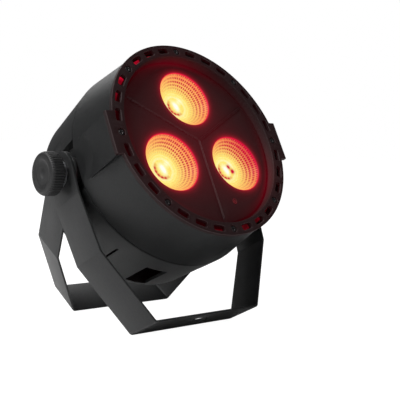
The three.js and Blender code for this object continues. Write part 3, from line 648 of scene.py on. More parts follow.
def make_bezel():
    """Two closed outlines carried round the axis, on either side of the slot circle: the inner one has
    the collar and shelf, the outer one the rim. They meet where no slot or hole parts them."""
    bezel = bpy.context.scene.par_can.bezel
    angles = bezel_stations(bezel)
    gap = bezel_gap(bezel, angles)
    edge = bezel.edge
    slit_edge = edge * np.clip(gap / (0.25 * bezel.slot_width), 0, 1)
    back = FRONT - bezel.thick
    shelf = FRONT - bezel.shelf_depth
    shelf_back = float(extent("front_ring")[0][2])
    low, high = bezel.slot_orbit - gap, bezel.slot_orbit + gap
    collar = bezel.inner + bezel.collar
    rim = bezel_rim(bezel, angles)
    inner = section([(low, FRONT, slit_edge), (bezel.inner, FRONT, 2 * edge), (bezel.inner, shelf, edge),
                     (bezel.shelf, shelf, edge), (bezel.shelf, shelf_back, edge), (collar, shelf_back, edge),
                     (collar, back, edge / 2), (low, back, 0 * gap)])
    outer = section([(high, back, 0 * gap), (rim, back, edge / 2), (rim, FRONT, edge),
                     (high, FRONT, slit_edge)])
    closed = (gap < 1e-7) & (np.roll(gap, -1) < 1e-7)
    surfaces = []
    for outline in (inner, outer):
        points = head_points(*polar(outline[..., 0], angles[:, None]), outline[..., 1])
        on_slit = np.abs(outline[..., 0] - bezel.slot_orbit) < 1e-7
        pair = on_slit & np.roll(on_slit, -1, 1)
        keep = ~(closed[:, None] & pair & np.roll(pair, -1, 0))
        surfaces.append(loft(points, True, True, keep))
    surface = together(*surfaces)
    x, y, z = head_places(surface[0]).T
    lip = np.clip(1 - (np.hypot(x, y) - bezel.inner) / (1.2 * MM), 0, 1)
    glow = 0.018 + 0.050 * lamp_glow(x, y, 14 * MM) + lip * 0.45 * lamp_glow(x, y, 5 * MM)
    wear_and_highlight = np.concatenate([edge_marks(outline).ravel() for outline in (inner, outer)])
    # The edge mark paints the front edges of the slot rims and the outer rim paler: partly wear, partly painted
    # highlight.
    marks = {"glow": glow * np.where(z > FRONT - 1.3 * bezel.thick, 0.34, 1.0),
             "edge": wear_and_highlight * (z > FRONT - 0.6 * bezel.edge) * np.clip(rim_wear_and_highlight(bezel, x, y), 0.12, 1)}
    piece("bezel", surface, MATERIALS["bezel"], "head", ["front_ring"], marks)


def make_ring_screws():
    """Pan heads with a cross recess: the height falls by a bowl times the share of a cross of arms."""
    bezel = bpy.context.scene.par_can.bezel
    radius, height, shank, shank_length = 2.25 * MM, 1.15 * MM, 0.6, 11.5 * MM
    base = float(extent("ring_screw_1")[1][2]) - height
    turn = np.linspace(0, 2 * math.pi, 48, endpoint=False)[:, None]
    crown = np.linspace(0, 1, 12)
    reach = np.concatenate([crown, [1.0, shank, shank, 0.0]])[None, :]
    dome = height * np.sqrt(np.clip(1 - 0.75 * reach ** 4, 0, 1))
    off_cross = np.minimum(np.abs(np.sin(turn)), np.abs(np.cos(turn))) * reach * radius
    arms = np.exp(-(off_cross / (0.34 * MM)) ** 4)
    recess = 0.75 * MM
    tops = dome - recess * arms * np.clip(1.25 - 1.7 * reach, 0, 1)
    under_head = len(crown)
    tops[:, under_head:under_head + 2] = 0
    tops[:, under_head + 2:] = -shank_length
    surfaces = []
    for centre in group_angles(bezel):
        x, y = (bezel.slot_orbit * f(centre) + radius * reach * f(turn) for f in (np.cos, np.sin))
        surfaces.append(loft(head_points(x, y, base + tops), True, False))
    nodes = [f"ring_screw_{i + 1}" for i in range(bezel.groups)]
    piece("ring_screws", together(*surfaces), MATERIALS["screw"], "head", nodes)


def make_slot_light():
    """Flat ring behind the slots that catches the lamps' light: brightest high on the left."""
    turn = np.linspace(0, 2 * math.pi, 360, endpoint=False)
    low, high, top, thick = 65.8 * MM, 69.4 * MM, FRONT - 7.5 * MM, 0.5 * MM
    outline = section([(low + 0 * turn, top, 0), (high, top, 0), (high, top - thick, 0),
                       (low, top - thick, 0)], 2)
    surface = loft(head_points(*polar(outline[..., 0], turn[:, None]), outline[..., 1]), True, True)
    bright = 0.06 + 0.75 * np.exp(-(turn_from(turn, math.radians(128)) / 0.42) ** 2)
    bright += 0.09 * np.exp(-(turn_from(turn, math.radians(285)) / 0.30) ** 2)
    marks = {"glow": np.repeat(bright, outline.shape[1])}
    piece("slot_light", surface, MATERIALS["leak"], "head", marks=marks)


# ---- face plate, ribs and lenses ---------------------------------------------------------------

FACE_SPILL = 0.42                 # share of the lamps' spill that the plate and ribs show


def make_face_plate():
    """Three sectors, each round one window. Rays from the lens's middle run from the window's edge to
    the nearer of the sector's two straight sides and the plate's circle, and an outline with rounded
    edges is carried round the window along them."""
    face = bpy.context.scene.par_can.face
    top, low = FRONT - face.depth, FRONT - face.depth - face.thick
    ray = np.linspace(0, 2 * math.pi, 241)[:-1]
    c, s = np.cos(ray), np.sin(ray)
    # Distance along a ray to the circle, and to the two sides that leave the middle 60 degrees off.
    to_circle = -face.orbit * c + np.sqrt(face.radius ** 2 - (face.orbit * s) ** 2)
    limit = to_circle
    for side in (1, -1):
        normal = np.array([math.sin(math.pi / 3), -side * math.cos(math.pi / 3)])
        speed = normal[0] * c + normal[1] * s
        room = face.orbit * normal[0] - 0.15 * MM
        limit = np.where(speed < -1e-6, np.minimum(limit, -room / np.minimum(speed, -1e-6)), limit)
    edge = 0.5 * MM
    shares = np.array([0.03, 0.08, 0.16, 0.3, 0.55])
    tops = [(face.window + share * (limit - face.window), top, 0 * ray) for share in shares]
    outline = section([(face.window, low, 0 * ray), (face.window, top, edge + 0 * ray), *tops,
                       (limit, top, edge / 2 + 0 * ray), (limit, low, 0 * ray)])
    surfaces = []
    for angle in LENS_ANGLES.values():
        x, y = polar(outline[..., 0], ray[:, None])
        points = head_points(*rotated(x + face.orbit, y, math.radians(angle)), outline[..., 1])
        surfaces.append(loft(points, True, True))
    surface = together(*surfaces)
    x, y, z = head_places(surface[0]).T
    wall = np.clip((top - 0.1 * MM - z) / (0.4 * MM), 0, 1)
    groove = np.clip((np.hypot(x, y) - face.radius + 2.0 * MM) / (1.6 * MM), 0, 1)
    glow = FACE_SPILL * head_marks(surface[0]) + 0.30 * wall * lamp_glow(x, y, 1.0 * MM)
    marks = {"glow": glow + 0.20 * groove * lamp_glow(x, y, 8 * MM)}
    piece("face_plate_sectors", surface, MATERIALS["bezel"], "head", ["face_plate"], marks)


def make_ribs():
    """Three ribs from the middle outwards, each an outline of two fine ridges carried along a line."""
    face = bpy.context.scene.par_can.face
    top = FRONT - face.depth
    half, rise = face.rib_width / 2, face.rib_height
    across = half * np.array([-1.15, -0.95, -0.6, -0.35, 0.35, 0.6, 0.95, 1.15, 1.15, -1.15])
    height = rise * np.array([0, 1, 1, 0.45, 0.45, 1, 1, 0, -2, -2])
    along = np.linspace(0, face.radius - 1.2 * MM, 30)
    run = along[:, None] + 0 * across
    fall = np.clip((along[-1] - run) / (1.5 * MM), 0, 1)
    # The share on each rib is a painted highlight on its top, set by how the rib faces the light; it goes into the
    # edge mark with the wear.
    rib_highlight = {90.0: 0.08, 210.0: 0.80, 330.0: 0.70}
    surfaces, wear_and_highlight = [], []
    for angle in LENS_ANGLES.values():
        x, y = rotated(run, across + 0 * run, math.radians(angle - 60))
        points = head_points(x, y, top + np.where(height > 0, height * fall, height))
        ends = [np.repeat(points[i].mean(0)[None], points.shape[1], 0)[None] for i in (0, -1)]
        tops = np.pad((height > 0.9 * rise) * rib_highlight[angle] * fall, ((1, 1), (0, 0)))
        wear_and_highlight.append(tops.ravel())
        surfaces.append(loft(np.concatenate([ends[0], points, ends[1]]), False, True))
    surface = together(*surfaces)
    piece("face_ribs", surface, MATERIALS["bezel"], "head",
          marks={"glow": FACE_SPILL * head_marks(surface[0]), "edge": np.concatenate(wear_and_highlight)}, sharp=25)


def make_infrared_eye():
    """Low collar with a dark dome in it, turned about the eye's middle."""
    low, high = extent("ir_receiver")
    face = bpy.context.scene.par_can.face
    x0, y0 = (low[:2] + high[:2]) / 2
    top = FRONT - face.depth
    # Radius, height above the plate and rounding of each corner.
    corners = np.array([(0, -0.4, 0), (1.9, -0.4, 0), (1.9, 0.12, 0.1), (1.45, 0.12, 0.1),
                        (1.3, -0.25, 0.1), (0.8, 0.05, 0.3), (0, 0.1, 0)]) * MM
    profile = section(corners + [0, top, 0])[0]
    surface = turned(profile, np.linspace(0, 2 * math.pi, 40, endpoint=False),
                     lambda x, y, z: head_points(x0 + x, y0 + y, z))
    # The eye takes the red leak finish: a painted faint red glow on it.
    piece("infrared_eye", surface, MATERIALS["leak"], "head",
          marks={"glow": np.full(len(surface[0]), 0.18)})


def make_lenses():
    """Each lens is a bowl as the clear collimator shows it: from the rim it sinks along a curve to the
    throat, a ring stands round the throat, and a domed image of the emitter fills it. Beads stand on
    the bowl: squared cosines of the radius and, in each ring of beads, of the angle. The beads
    turn crimson towards the rim, most on the upper right, and broken arcs stand round the core."""
    face = bpy.context.scene.par_can.face
    rim = FRONT - face.depth - 0.3 * MM
    edge = face.window - 0.15 * MM
    turns = np.linspace(0, 2 * math.pi, 256, endpoint=False)[:, None]
    reach = np.concatenate([np.linspace(0, face.throat, 22), np.linspace(face.throat, edge, 76)[1:]])
    reach = reach[None, :]
    share = np.clip((reach - face.throat) / (edge - face.throat), 0, 1)
    floor = rim - face.bowl_depth
    bowl = floor + face.bowl_depth * (0.35 * share + 0.65 * share ** 2)
    image = floor + 0.9 * MM * np.clip(1 - (reach / (0.8 * face.throat)) ** 2, 0, 1)
    ring = 0.45 * MM * np.exp(-((reach - face.throat) / (0.55 * MM)) ** 2)
    base = np.where(reach < face.throat, image, bowl) + ring
    row = reach / face.bead
    count = np.maximum(1, np.round(2 * math.pi * np.floor(row + 0.5)))
    rings, spokes = np.cos(math.pi * row) ** 2, np.cos(turns * count / 2) ** 2
    dots = rings * spokes
    beaded = np.clip((share - 0.06) * 8, 0, 1) * np.clip((1 - share) * 14, 0, 1)
    height = np.minimum(base + 0.28 * MM * dots * beaded, rim)
    skirt = rim - (face.bowl_depth + 2 * MM) + 0 * turns
    far_turn, arc_turn = math.radians(32), math.radians(222)
    far_side = 0.5 + 0.5 * np.cos(turns - far_turn)
    across, upward = polar(reach, turns)
    spread = np.clip(2.4 * (share - 0.22), 0, 1) * (0.22 + 1.25 * far_side ** 1.3)
    speckled = np.clip(3.0 * dots - 0.40, 0, 1) * beaded * spread
    broken = 0.80 + 0.20 * np.cos(turns * 13)
    arc = np.exp(-((reach - 0.84 * face.throat) / (1.1 * MM)) ** 2) * broken
    bead = speckled + 1.2 * arc * np.clip(0.15 + 1.3 * np.cos(turns - arc_turn), 0, 1)
    hot = np.exp(-((across + 0.25 * upward) / (2.6 * MM)) ** 2 - (upward / (4.2 * MM)) ** 2)
    patch = np.exp(-(np.hypot(across - 4.4 * MM, upward - 4.2 * MM) / (2.5 * MM)) ** 2)
    inside = 0.54 + 0.60 * hot
    outside = 0.72 - 0.26 * share ** 1.1 - 0.20 * far_side * share
    warmth = np.where(reach < face.throat, inside, outside) + 0.30 * patch
    warmth = warmth - 0.10 * (1 - rings) * beaded - 0.9 * np.clip((share - 0.955) * 22, 0, 1)
    skirt_reach = np.array([[edge, 0.0]])
    reach_all = np.concatenate([reach + 0 * turns, skirt_reach + 0 * turns], 1)
    height_all = np.concatenate([height, skirt, skirt], 1)
    for side, angle in LENS_ANGLES.items():
        # The right lens shows two crimson patches beside its core, and more crimson on its far side.
        smear = 0
        if side == "right":
            smear = 0.60 * far_side ** 3 * np.clip(2 * (share - 0.35), 0, 1)
            for a, b in ((3.6, 2.9), (6.3, -0.6)):
                away = np.hypot(across - a * MM, upward - b * MM)
                smear = smear + 1.5 * np.exp(-(away / (1.7 * MM)) ** 2)
        marks = {"warmth": np.concatenate([warmth, 0 * turns, 0 * turns], 1),
                 "bead": np.concatenate([bead + smear + 0 * turns, 0 * turns, 0 * turns], 1)}
        x0, y0 = polar(face.orbit, math.radians(angle))
        x, y = polar(reach_all, turns)
        surface = loft(head_points(x0 + x, y0 + y, height_all), True, False)
        piece(f"collimator_{side}", surface, MATERIALS["lens"], "head",
              [f"lens_{side}"], marks, sharp=60)


# ---- shells ------------------------------------------------------------------------------------

def barrel(shell, depth):
    """Barrel radius at a depth behind the ring's front: straight to the seam, then straight to the rear."""
    seam, rear = FRONT - SEAM_EDGE, FRONT - REAR
    return np.interp(depth, [0, seam, rear], [shell.front_radius, shell.seam_radius, shell.rear_radius])


def side_flat(angles, radius, plane, half, proud):
    """Radius with a flat at each end of the tilt axis. The flat is the plane's radius where its height
    is under half; it stands proud of the barrel or is cut into it."""
    flat = plane / np.maximum(np.abs(np.cos(angles)), 1e-6)
    inside = np.abs(flat * np.sin(angles)) <= half + 1e-9
    chosen = np.maximum(radius, flat) if proud else np.minimum(radius, flat)
    return np.where(inside, chosen, radius)


def shell_stations(plane, half, extra=()):
    """Angles every degree and a half, with a close pair at each side of the flats and extra edges."""
    corner = math.atan2(half, plane)
    pairs = [side + sign * corner * (1 + nudge)
             for side in (0, math.pi) for sign in (-1, 1) for nudge in (0, 0.02)]
    every = np.radians(np.arange(0, 360, 1.5))
    joined = np.concatenate([every, pairs, extra])
    return np.unique(np.round(joined % (2 * math.pi), 7))


def make_front_shell():
    """Cone of the barrel with a boss on each side, as a radius over angle and depth, and its inner wall."""
    shell = bpy.context.scene.par_can.shell
    start = FRONT - float(extent("front_shell")[1][2])
    depths = np.concatenate([[start, start + 0.3 * MM], np.linspace(start, FRONT - SEAM_EDGE, 26)[1:-1]])
    end = FRONT - SEAM_EDGE - 0.3 * MM
    depths = np.concatenate([np.sort(depths), [end - 0.3 * MM, end]])
    angles = shell_stations(shell.boss, shell.boss_half)
    turn, depth = angles[:, None], depths[None, :]
    round_off = np.array([0.3] + [0.0] * (len(depths) - 2) + [0.25]) * MM
    radius = barrel(shell, depth) - round_off
    outer = side_flat(turn, radius, shell.boss, shell.boss_half, True) + 0 * turn
    outer = side_flat(turn, outer, shell.relief, shell.boss_half, False)
    inner = barrel(shell, depth) - shell.wall + 0 * turn
    grids = [head_points(*polar(radius, turn), FRONT - depth) for radius in (outer, inner)]
    solid = np.ones((len(angles), len(depths) - 1), bool)
    piece("front_barrel", walled(*grids, solid), MATERIALS["shell"], "head",
          ["front_shell"])


def make_rear_shell():
    """Barrel behind the seam: pocket and wide flat on each side, rounded rear edge that turns in to the
    back panel, and windows left out of the grid for the two vents and four clip slots."""
    shell = bpy.context.scene.par_can.shell
    front = FRONT - SEAM_EDGE
    rear = FRONT - REAR
    step = shell.flat_depth
    mid = (shell.rear_radius + shell.seam_radius) / 2
    vent_half, clip_half = (0.5 * width / mid for width in (shell.vent_width, shell.clip_width))
    vents = [shell.vent_angle, math.pi - shell.vent_angle]
    clips = [shell.clip_angle, math.pi - shell.clip_angle, math.pi + shell.clip_angle, -shell.clip_angle]
    sides = [place + sign * half for places, half in ((vents, vent_half), (clips, clip_half))
             for place in places for sign in (-1, 1)]
    angles = shell_stations(shell.pocket, shell.pocket_half, np.array(sides))
    bends = np.linspace(0, math.pi / 2, 7)
    turned_in = rear - shell.edge * (1 - np.sin(bends))
    depths = np.unique(np.round(np.concatenate([
        [front, front + 0.5 * MM], np.arange(front + 2 * MM, rear - shell.edge, 2 * MM),
        [step - 0.02 * MM, step, shell.vent_from, shell.vent_to, shell.clip_from, shell.clip_to],
        turned_in]), 8))
    turn, depth = angles[:, None], depths[None, :]
    over = np.clip((depth - (rear - shell.edge)) / shell.edge, 0, 1)
    rounding = shell.edge * (1 - np.sqrt(np.clip(1 - over ** 2, 0, 1)))
    seam_round = np.where(depth < front + 0.3 * MM, 0.2 * MM, 0)
    base = barrel(shell, depth) - seam_round + 0 * turn
    pocket = side_flat(turn, base, shell.pocket, shell.pocket_half, False)
    flat = np.minimum(base, shell.flat / np.maximum(np.abs(np.cos(turn)), 1e-6))
    outer = np.where(depth < step, pocket, flat) - rounding
    inner = np.minimum(outer, base - rounding) - shell.wall
    play, collar, ledge = 0.3 * MM, 1.2 * MM, 3 * MM
    panel = float(np.max(extent("back_panel")[1][:2])) + play
    close = np.array([[panel]]) + 0 * turn
    depth_all = np.concatenate([depth + 0 * turn, rear + 0 * turn, rear - ledge + 0 * turn], 1)
    outer_all = np.concatenate([outer, close, close], 1)
    inner_depth = np.concatenate([np.minimum(depth, rear - shell.wall) + 0 * turn,
                                  rear - shell.wall + 0 * turn, rear - ledge + 0 * turn], 1)
    inner_all = np.concatenate([inner, close + collar, close + collar], 1)
    grids = [head_points(*polar(radius, turn), FRONT - depths_at)
             for radius, depths_at in ((outer_all, depth_all), (inner_all, inner_depth))]
    middle_turn = angles + 0.5 * (np.roll(angles, -1) - angles) % math.pi
    middle_depth = 0.5 * (depth_all[0, :-1] + depth_all[0, 1:])
    solid = np.ones((len(angles), len(middle_depth)), bool)
    for places, half, start, end in ((vents, vent_half, shell.vent_from, shell.vent_to),
                                     (clips, clip_half, shell.clip_from, shell.clip_to)):
        for place in places:
            across = np.abs(turn_from(middle_turn, place)) < half
            along = (middle_depth > start) & (middle_depth < end)
            along[-2:] = False
            solid[np.ix_(across, along)] = False
    piece("rear_barrel", walled(*grids, solid), MATERIALS["shell"], "head", ["rear_shell"])


# ---- clamp and yokes ---------------------------------------------------------------------------

def make_knobs():
    """Outline turned about the tilt axis whose radius rises and falls with the ribs: radius less the
    rib's height times a rounded wave of the angle, on the grip only. The face is a shallow dish with a
    low bump in its middle."""
    clamp = bpy.context.scene.par_can.clamp
    neck_from = float(extent("knob_right")[0][0])
    stud = float(extent("clamp_stud_right")[1][0]) + 0.3 * MM
    bore = 4.3 * MM
    turn = np.linspace(0, 2 * math.pi, clamp.ribs * 8, endpoint=False)
    face, grip, r = clamp.face, clamp.grip, clamp.radius
    wave = np.abs(np.sin(clamp.ribs * turn / 2)) ** 0.7
    ribbed = r - clamp.rib * (1 - wave)
    shoulder, dish = clamp.shoulder, face - clamp.dish_depth
    corners = [(bore, neck_from, 0), (clamp.neck, neck_from, 0.4 * MM), (clamp.neck, grip, 0.2 * MM),
               (ribbed - 0.6 * MM, grip, 0), (ribbed, grip + 0.6 * MM, 0.3 * MM),
               (ribbed, face - shoulder, 0.6 * MM),
               (r - 1.0 * MM - 0.3 * (r - ribbed), face - 0.5 * MM, 0.8 * MM),
               (r - shoulder - 0.2 * MM, face, 0.6 * MM), (clamp.dish, face, 0.5 * MM),
               (clamp.dish - 1.6 * MM, dish, 0.9 * MM), (3.2 * MM, dish, 0.8 * MM),
               (1.6 * MM, face - 0.45 * MM, 0.8 * MM), (0.0, face - 0.4 * MM, 0),
               (0.0, stud, 0), (bore, stud, 0)]
    outline = section([(a + 0 * turn, b, e) for a, b, e in corners], 5)
    for side, name in ((-1, "left"), (1, "right")):
        radius, reach = outline[..., 0], side * outline[..., 1]
        points = head_points(reach, radius * np.cos(turn)[:, None], radius * np.sin(turn)[:, None])
        piece(f"ribbed_knob_{name}", loft(points, True, True), MATERIALS["knob"], f"{name}_knob",
              [f"knob_{name}"], sharp=30)


def strap_path(yoke):
    """Outer face from the left leg's end to the right one's: straight runs joined by arcs of the bend's
    radius, cut into stations. Gives points, outward normals and lengths along the path."""
    end = yoke.width / 2
    right = [(yoke.foot, -yoke.foot_drop), (yoke.elbow, -yoke.elbow_drop),
             (yoke.top, -yoke.knee_drop), (yoke.top, end)]
    corners = np.array([(-x, y) for x, y in reversed(right)] + right)
    points = [corners[:1]]
    for before, corner, after in zip(corners, corners[1:], corners[2:]):
        a, b = ((p - corner) / np.linalg.norm(p - corner) for p in (before, after))
        opening = math.acos(np.clip(a @ b, -1, 1))
        trim = yoke.bend * math.tan((math.pi - opening) / 2)
        centre = corner + (a + b) / np.linalg.norm(a + b) * yoke.bend / math.sin(opening / 2)
        first, last = corner + a * trim - centre, corner + b * trim - centre
        sweep = math.pi - opening
        t = np.linspace(0, 1, 7)[:, None]
        arc = (np.sin((1 - t) * sweep) * first + np.sin(t * sweep) * last) / math.sin(sweep)
        points.append(centre + arc)
    points.append(corners[-1:])
    path = np.concatenate(points)
    lengths = np.concatenate([[0], np.cumsum(np.linalg.norm(np.diff(path, axis=0), axis=1))])
    total = lengths[-1]
    holes = [end, total - end]
    stations = np.concatenate(
        [lengths, np.arange(0, total, 3 * MM), total / 2 + spaced(yoke.slot_length / 2)]
        + [hole + spaced(yoke.hole, 8) for hole in holes]
        + [end + spaced(end, 14), total - end + spaced(end, 14)])
    stations = np.unique(np.round(np.clip(stations, 0, total), 7))
    along = np.stack([np.interp(stations, lengths, path[:, i]) for i in (0, 1)], -1)
    direction = np.gradient(along, stations, axis=0)
    direction /= np.linalg.norm(direction, axis=1)[:, None]
    return along, np.stack([direction[:, 1], -direction[:, 0]], -1), stations, total


def make_yoke(node, base, yoke):
    """Strap of two closed outlines carried along the path, on either side of a slit that opens into the
    stud holes and the slot in the base. The strap narrows to a half circle at each end."""
    path, normal, stations, total = strap_path(yoke)
    end = yoke.width / 2
    past = np.maximum(0, np.maximum(end - stations, stations - (total - end)))
    half = np.sqrt(np.clip(end ** 2 - past ** 2, 1e-12, None))
    gap = superellipse(stations - total / 2, yoke.slot_length / 2, yoke.slot_width / 2, 3)
    for hole in (end, total - end):
        gap = np.maximum(gap, superellipse(stations - hole, yoke.hole, yoke.hole, 2))
    gap = np.minimum(gap, half)
    middle = np.where(np.abs(stations - total / 2) < yoke.slot_length, yoke.slot_shift, 0)
    edge = 0.3 * MM
    slit_edge = np.minimum(edge, gap)
    outlines = [
        section([(-half, 0 * half, edge), (middle - gap, 0, slit_edge),
                 (middle - gap, -yoke.thick, slit_edge), (-half, -yoke.thick, edge)]),
        section([(middle + gap, 0 * half, slit_edge), (half, 0, edge), (half, -yoke.thick, edge),
                 (middle + gap, -yoke.thick, slit_edge)]),
    ]
    down = np.array(MOUNTS[base]["axis"])
    across = np.cross(ACROSS, -down)
    closed = (gap[1:] < 1e-7) & (gap[:-1] < 1e-7)
    surfaces = []
    for outline in outlines:
        plane = path[:, None, :] + normal[:, None, :] * outline[..., 1:]
        points = PIVOT + plane[..., :1] * ACROSS - plane[..., 1:] * down + outline[..., :1] * across
        on_slit = np.abs(outline[..., 0] - middle[:, None]) < 1e-7
        pair = on_slit & np.roll(on_slit, -1, 1)
        keep = ~(closed[:, None] & pair[:-1] & pair[1:])
        surfaces.append(loft(points, False, True, keep))
    piece(f"{node}_strap", together(*surfaces), MATERIALS["strap"], node, [node])


def make_yokes():
    can = bpy.context.scene.par_can
    for node, yoke in (("front_yoke", can.front_yoke), ("rear_yoke", can.rear_yoke)):
        make_yoke(node, f"{node}_base", yoke)


# ---- display and carried-over nodes ------------------------------------------------------------

def make_digits():
    """Four seven-segment digits just behind the window's face: six-cornered bars placed by a table of
    which segments each digit lights. They read d001, a plain channel number."""
    low, high = extent("display_window")
    face = low[2] - 0.02 * MM
    middle_y = (low[1] + high[1]) / 2
    long, slim = 3.1 * MM, 0.42 * MM
    pitch, spacing = 7 * MM, 1.05
    bars = {"a": (0, 1, 0), "b": (0.5, 0.5, 90), "c": (0.5, -0.5, 90), "d": (0, -1, 0),
            "e": (-0.5, -0.5, 90), "f": (-0.5, 0.5, 90), "g": (0, 0, 0)}
    hexagon = np.array([(-0.5, 0), (-0.42, 1), (0.42, 1), (0.5, 0), (0.42, -1), (-0.42, -1)])
    surfaces = []
    for place, lit in enumerate(("bcdeg", "abcdef", "abcdef", "bc")):
        for bar in lit:
            u, v, turn = bars[bar]
            x, y = rotated(hexagon[:, 0] * long * 0.95, hexagon[:, 1] * slim, math.radians(turn))
            x = (1.5 - place) * pitch - (x + u * long * spacing)
            y = middle_y + y + v * long * spacing
            rings = [head_points(x, y, face + lift) for lift in (0.0, 0.3 * MM)]
            caps = [np.repeat(ring.mean(0)[None], 6, 0) for ring in rings]
            surfaces.append(loft(np.stack([caps[0], rings[0], rings[1], caps[1]]), False, True))
    piece("display_digits", together(*surfaces), MATERIALS["digits"], "head")


CARRIED = {
    "lens_holder_": "inner", "ir_receiver": "inner", "dmx_": "inner", "power_inlet": "inner",
    "led_emitter_": "resin", "led_board": "board_white", "control_board": "board_green",
    "power_supply_board": "board_green", "heatsink": "aluminium", "board_pillar_": "zinc",
    "back_panel": "panel", "display_window": "window", "button_": "button", "panel_screw_": "screw",
    "microphone": "zinc", "clamp_nut_": "zinc", "clamp_stud_": "zinc", "pressure_washer_": "zinc",
    "friction_washer_": "rubber",
}


def finish_carried_nodes():
    """Gives each CAD node that stays its finish."""
    for start, material in CARRIED.items():
        for name, node in frame["nodes"].items():
            if name.startswith(start):
                node.material_slots[0].material = MATERIALS[material]


# ---- stage -------------------------------------------------------------------------------------

CAMERA = {
    "place": (-334.80 * MM, -416.35 * MM, 133.515 * MM),
    "right": (0.74937, -0.65989, 0.05468), "up": (0.01455, 0.09897, 0.99498), "lens": 66.03,
}
LIGHTS = (
    # name, place, size, power
    ("key", (-0.80, 0.05, 1.05), 0.55, 18.0),
    ("left", (-1.30, -0.50, 0.30), 0.8, 1.6),
    ("front", (-0.10, -1.60, 0.60), 0.8, 1.7),
    ("back", (0.40, 1.20, 1.10), 0.9, 7.5),
)
AMBIENT = 0.13                    # light of the surround, as a share of the white that shows
FLOOR_WHITE = 1.30                # strength of the white that is mixed into the seen floor
FLOOR_SHARE = 0.76                # and its share


def make_floor(shade):
    """Flat pale floor. What is seen of it is mostly plain white, so that only a faint shadow shows."""
    size = 6.0
    mesh = bpy.data.meshes.new("floor")
    corners = [(-size, -size, 0), (size, -size, 0), (size, size, 0), (-size, size, 0)]
    mesh.from_pydata(corners, [], [(0, 1, 2, 3)])
    floor = bpy.data.objects.new("floor", mesh)
    bpy.context.scene.collection.objects.link(floor)
    recipe = Recipe("pale_floor", Roughness=0.8)
    cloud = recipe.noise(3.0)
    mesh.materials.append(recipe.feed(Base_Color=recipe.mix(cloud, times(shade, 0.97), shade)))
    seen = recipe.node("ShaderNodeLightPath", out="Is Camera Ray")
    white = recipe.node("ShaderNodeEmission", None, {"Strength": FLOOR_WHITE}, out="Emission")
    shown = recipe.node("ShaderNodeMixShader", None, {
        0: seen * FLOOR_SHARE, 1: Value(recipe, recipe.shader.outputs["BSDF"]), 2: white}, out="Shader")
    recipe.tree.links.new(shown.socket, recipe.tree.nodes["Material Output"].inputs["Surface"])


def make_surround():
    """White where it is seen, and a dimmer light for the object."""
    world = bpy.data.worlds.new("surround")
    world.use_nodes = True
    tree = world.node_tree
    dim = tree.nodes["Background"]
    dim.inputs["Strength"].default_value = AMBIENT
    bright = tree.nodes.new("ShaderNodeBackground")
    for background in (dim, bright):
        background.inputs["Color"].default_value = (1, 1, 1, 1)
    path = tree.nodes.new("ShaderNodeLightPath")
    mix = tree.nodes.new("ShaderNodeMixShader")
    tree.links.new(path.outputs["Is Camera Ray"], mix.inputs[0])
    tree.links.new(dim.outputs[0], mix.inputs[1])
    tree.links.new(bright.outputs[0], mix.inputs[2])
    tree.links.new(mix.outputs[0], tree.nodes["World Output"].inputs["Surface"])
    bpy.context.scene.world = world


def make_stage():
    """Floor, surround, four soft lights and the camera."""
    scene = bpy.context.scene
    make_floor(scene.par_can.finish.floor)
    make_surround()
    aim = Vector(PIVOT)
    for name, place, size, power in LIGHTS:
        data = bpy.data.lights.new(name, "AREA")
        data.size, data.energy = size, power
        light = bpy.data.objects.new(name, data)
        light.location = place
        light.rotation_euler = (aim - Vector(place)).to_track_quat("-Z", "Y").to_euler()
        scene.collection.objects.link(light)
    right, up = (Vector(CAMERA[key]).normalized() for key in ("right", "up"))
    back = right.cross(up)
    data = bpy.data.cameras.new("camera")
    data.lens, data.sensor_width = CAMERA["lens"], 36.0
    camera = bpy.data.objects.new("camera", data)
    turn = Matrix((right, up, back)).transposed().to_4x4()
    camera.matrix_world = Matrix.Translation(CAMERA["place"]) @ turn
    scene.collection.objects.link(camera)
    scene.camera = camera
    scene.view_settings.view_transform = "Standard"


# ---- operators ---------------------------------------------------------------------------------

class PARCAN_OT_materials(bpy.types.Operator):
    """Make the finishes and give the carried-over nodes theirs"""
    bl_idname = "parcan.materials"
    bl_label = "Finishes"

    def execute(self, context):
        make_materials(context.scene.par_can.finish)
        finish_carried_nodes()
        return {"FINISHED"}


class PARCAN_OT_bezel(bpy.types.Operator):
    """Make the slotted bezel, its screws and the light behind the slots"""
    bl_idname = "parcan.bezel"
    bl_label = "Bezel"

    def execute(self, context):
        make_bezel()
        make_ring_screws()
        make_slot_light()
        return {"FINISHED"}


class PARCAN_OT_face(bpy.types.Operator):
    """Make the face plate, its ribs and the infrared eye"""
    bl_idname = "parcan.face"
    bl_label = "Face plate"

    def execute(self, context):
        make_face_plate()
        make_ribs()
        make_infrared_eye()
        return {"FINISHED"}


class PARCAN_OT_lenses(bpy.types.Operator):
    """Make the three lit collimator lenses"""
    bl_idname = "parcan.lenses"
    bl_label = "Lenses"

    def execute(self, context):
        make_lenses()
        return {"FINISHED"}


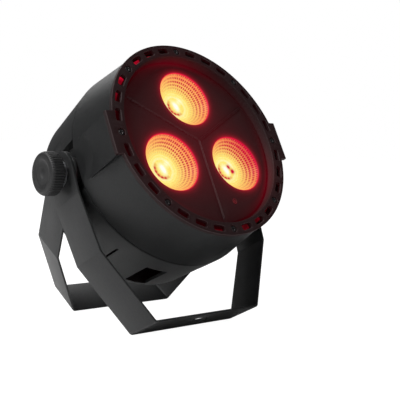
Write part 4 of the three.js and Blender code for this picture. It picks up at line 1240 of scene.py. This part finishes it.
class PARCAN_OT_shells(bpy.types.Operator):
    """Make the two halves of the barrel"""
    bl_idname = "parcan.shells"
    bl_label = "Shells"

    def execute(self, context):
        make_front_shell()
        make_rear_shell()
        return {"FINISHED"}


class PARCAN_OT_knobs(bpy.types.Operator):
    """Make the two ribbed clamp knobs"""
    bl_idname = "parcan.knobs"
    bl_label = "Knobs"

    def execute(self, context):
        make_knobs()
        return {"FINISHED"}


class PARCAN_OT_yokes(bpy.types.Operator):
    """Make the two bent yokes"""
    bl_idname = "parcan.yokes"
    bl_label = "Yokes"

    def execute(self, context):
        make_yokes()
        return {"FINISHED"}


class PARCAN_OT_display(bpy.types.Operator):
    """Make the display's lit digits"""
    bl_idname = "parcan.display"
    bl_label = "Display digits"

    def execute(self, context):
        make_digits()
        return {"FINISHED"}


class PARCAN_OT_stage(bpy.types.Operator):
    """Make the floor, the lights and the camera"""
    bl_idname = "parcan.stage"
    bl_label = "Stage"

    def execute(self, context):
        make_stage()
        return {"FINISHED"}


OPERATORS = (PARCAN_OT_materials, PARCAN_OT_bezel, PARCAN_OT_face, PARCAN_OT_lenses, PARCAN_OT_shells,
             PARCAN_OT_knobs, PARCAN_OT_yokes, PARCAN_OT_display, PARCAN_OT_stage)


class PARCAN_PT_sidebar(bpy.types.Panel):
    """Lists the makers of the light's pieces"""
    bl_idname = "PARCAN_PT_sidebar"
    bl_label = "Par can light"
    bl_space_type = "VIEW_3D"
    bl_region_type = "UI"
    bl_category = "Par can"

    def draw(self, context):
        for operator in OPERATORS:
            self.layout.operator(operator.bl_idname)


CLASSES = (BezelSizes, FaceSizes, ShellSizes, ClampSizes, FrontYokeSizes, RearYokeSizes, Finishes, ParCan,
           *OPERATORS, PARCAN_PT_sidebar)


def register():
    for entry in CLASSES:
        bpy.utils.register_class(entry)
    bpy.types.Scene.par_can = PointerProperty(type=ParCan)


def unregister():
    del bpy.types.Scene.par_can
    for entry in reversed(CLASSES):
        bpy.utils.unregister_class(entry)


def main():
    register()
    for operator in OPERATORS:
        group, name = operator.bl_idname.split(".")
        getattr(getattr(bpy.ops, group), name)()


if __name__ == "__main__":
    main()
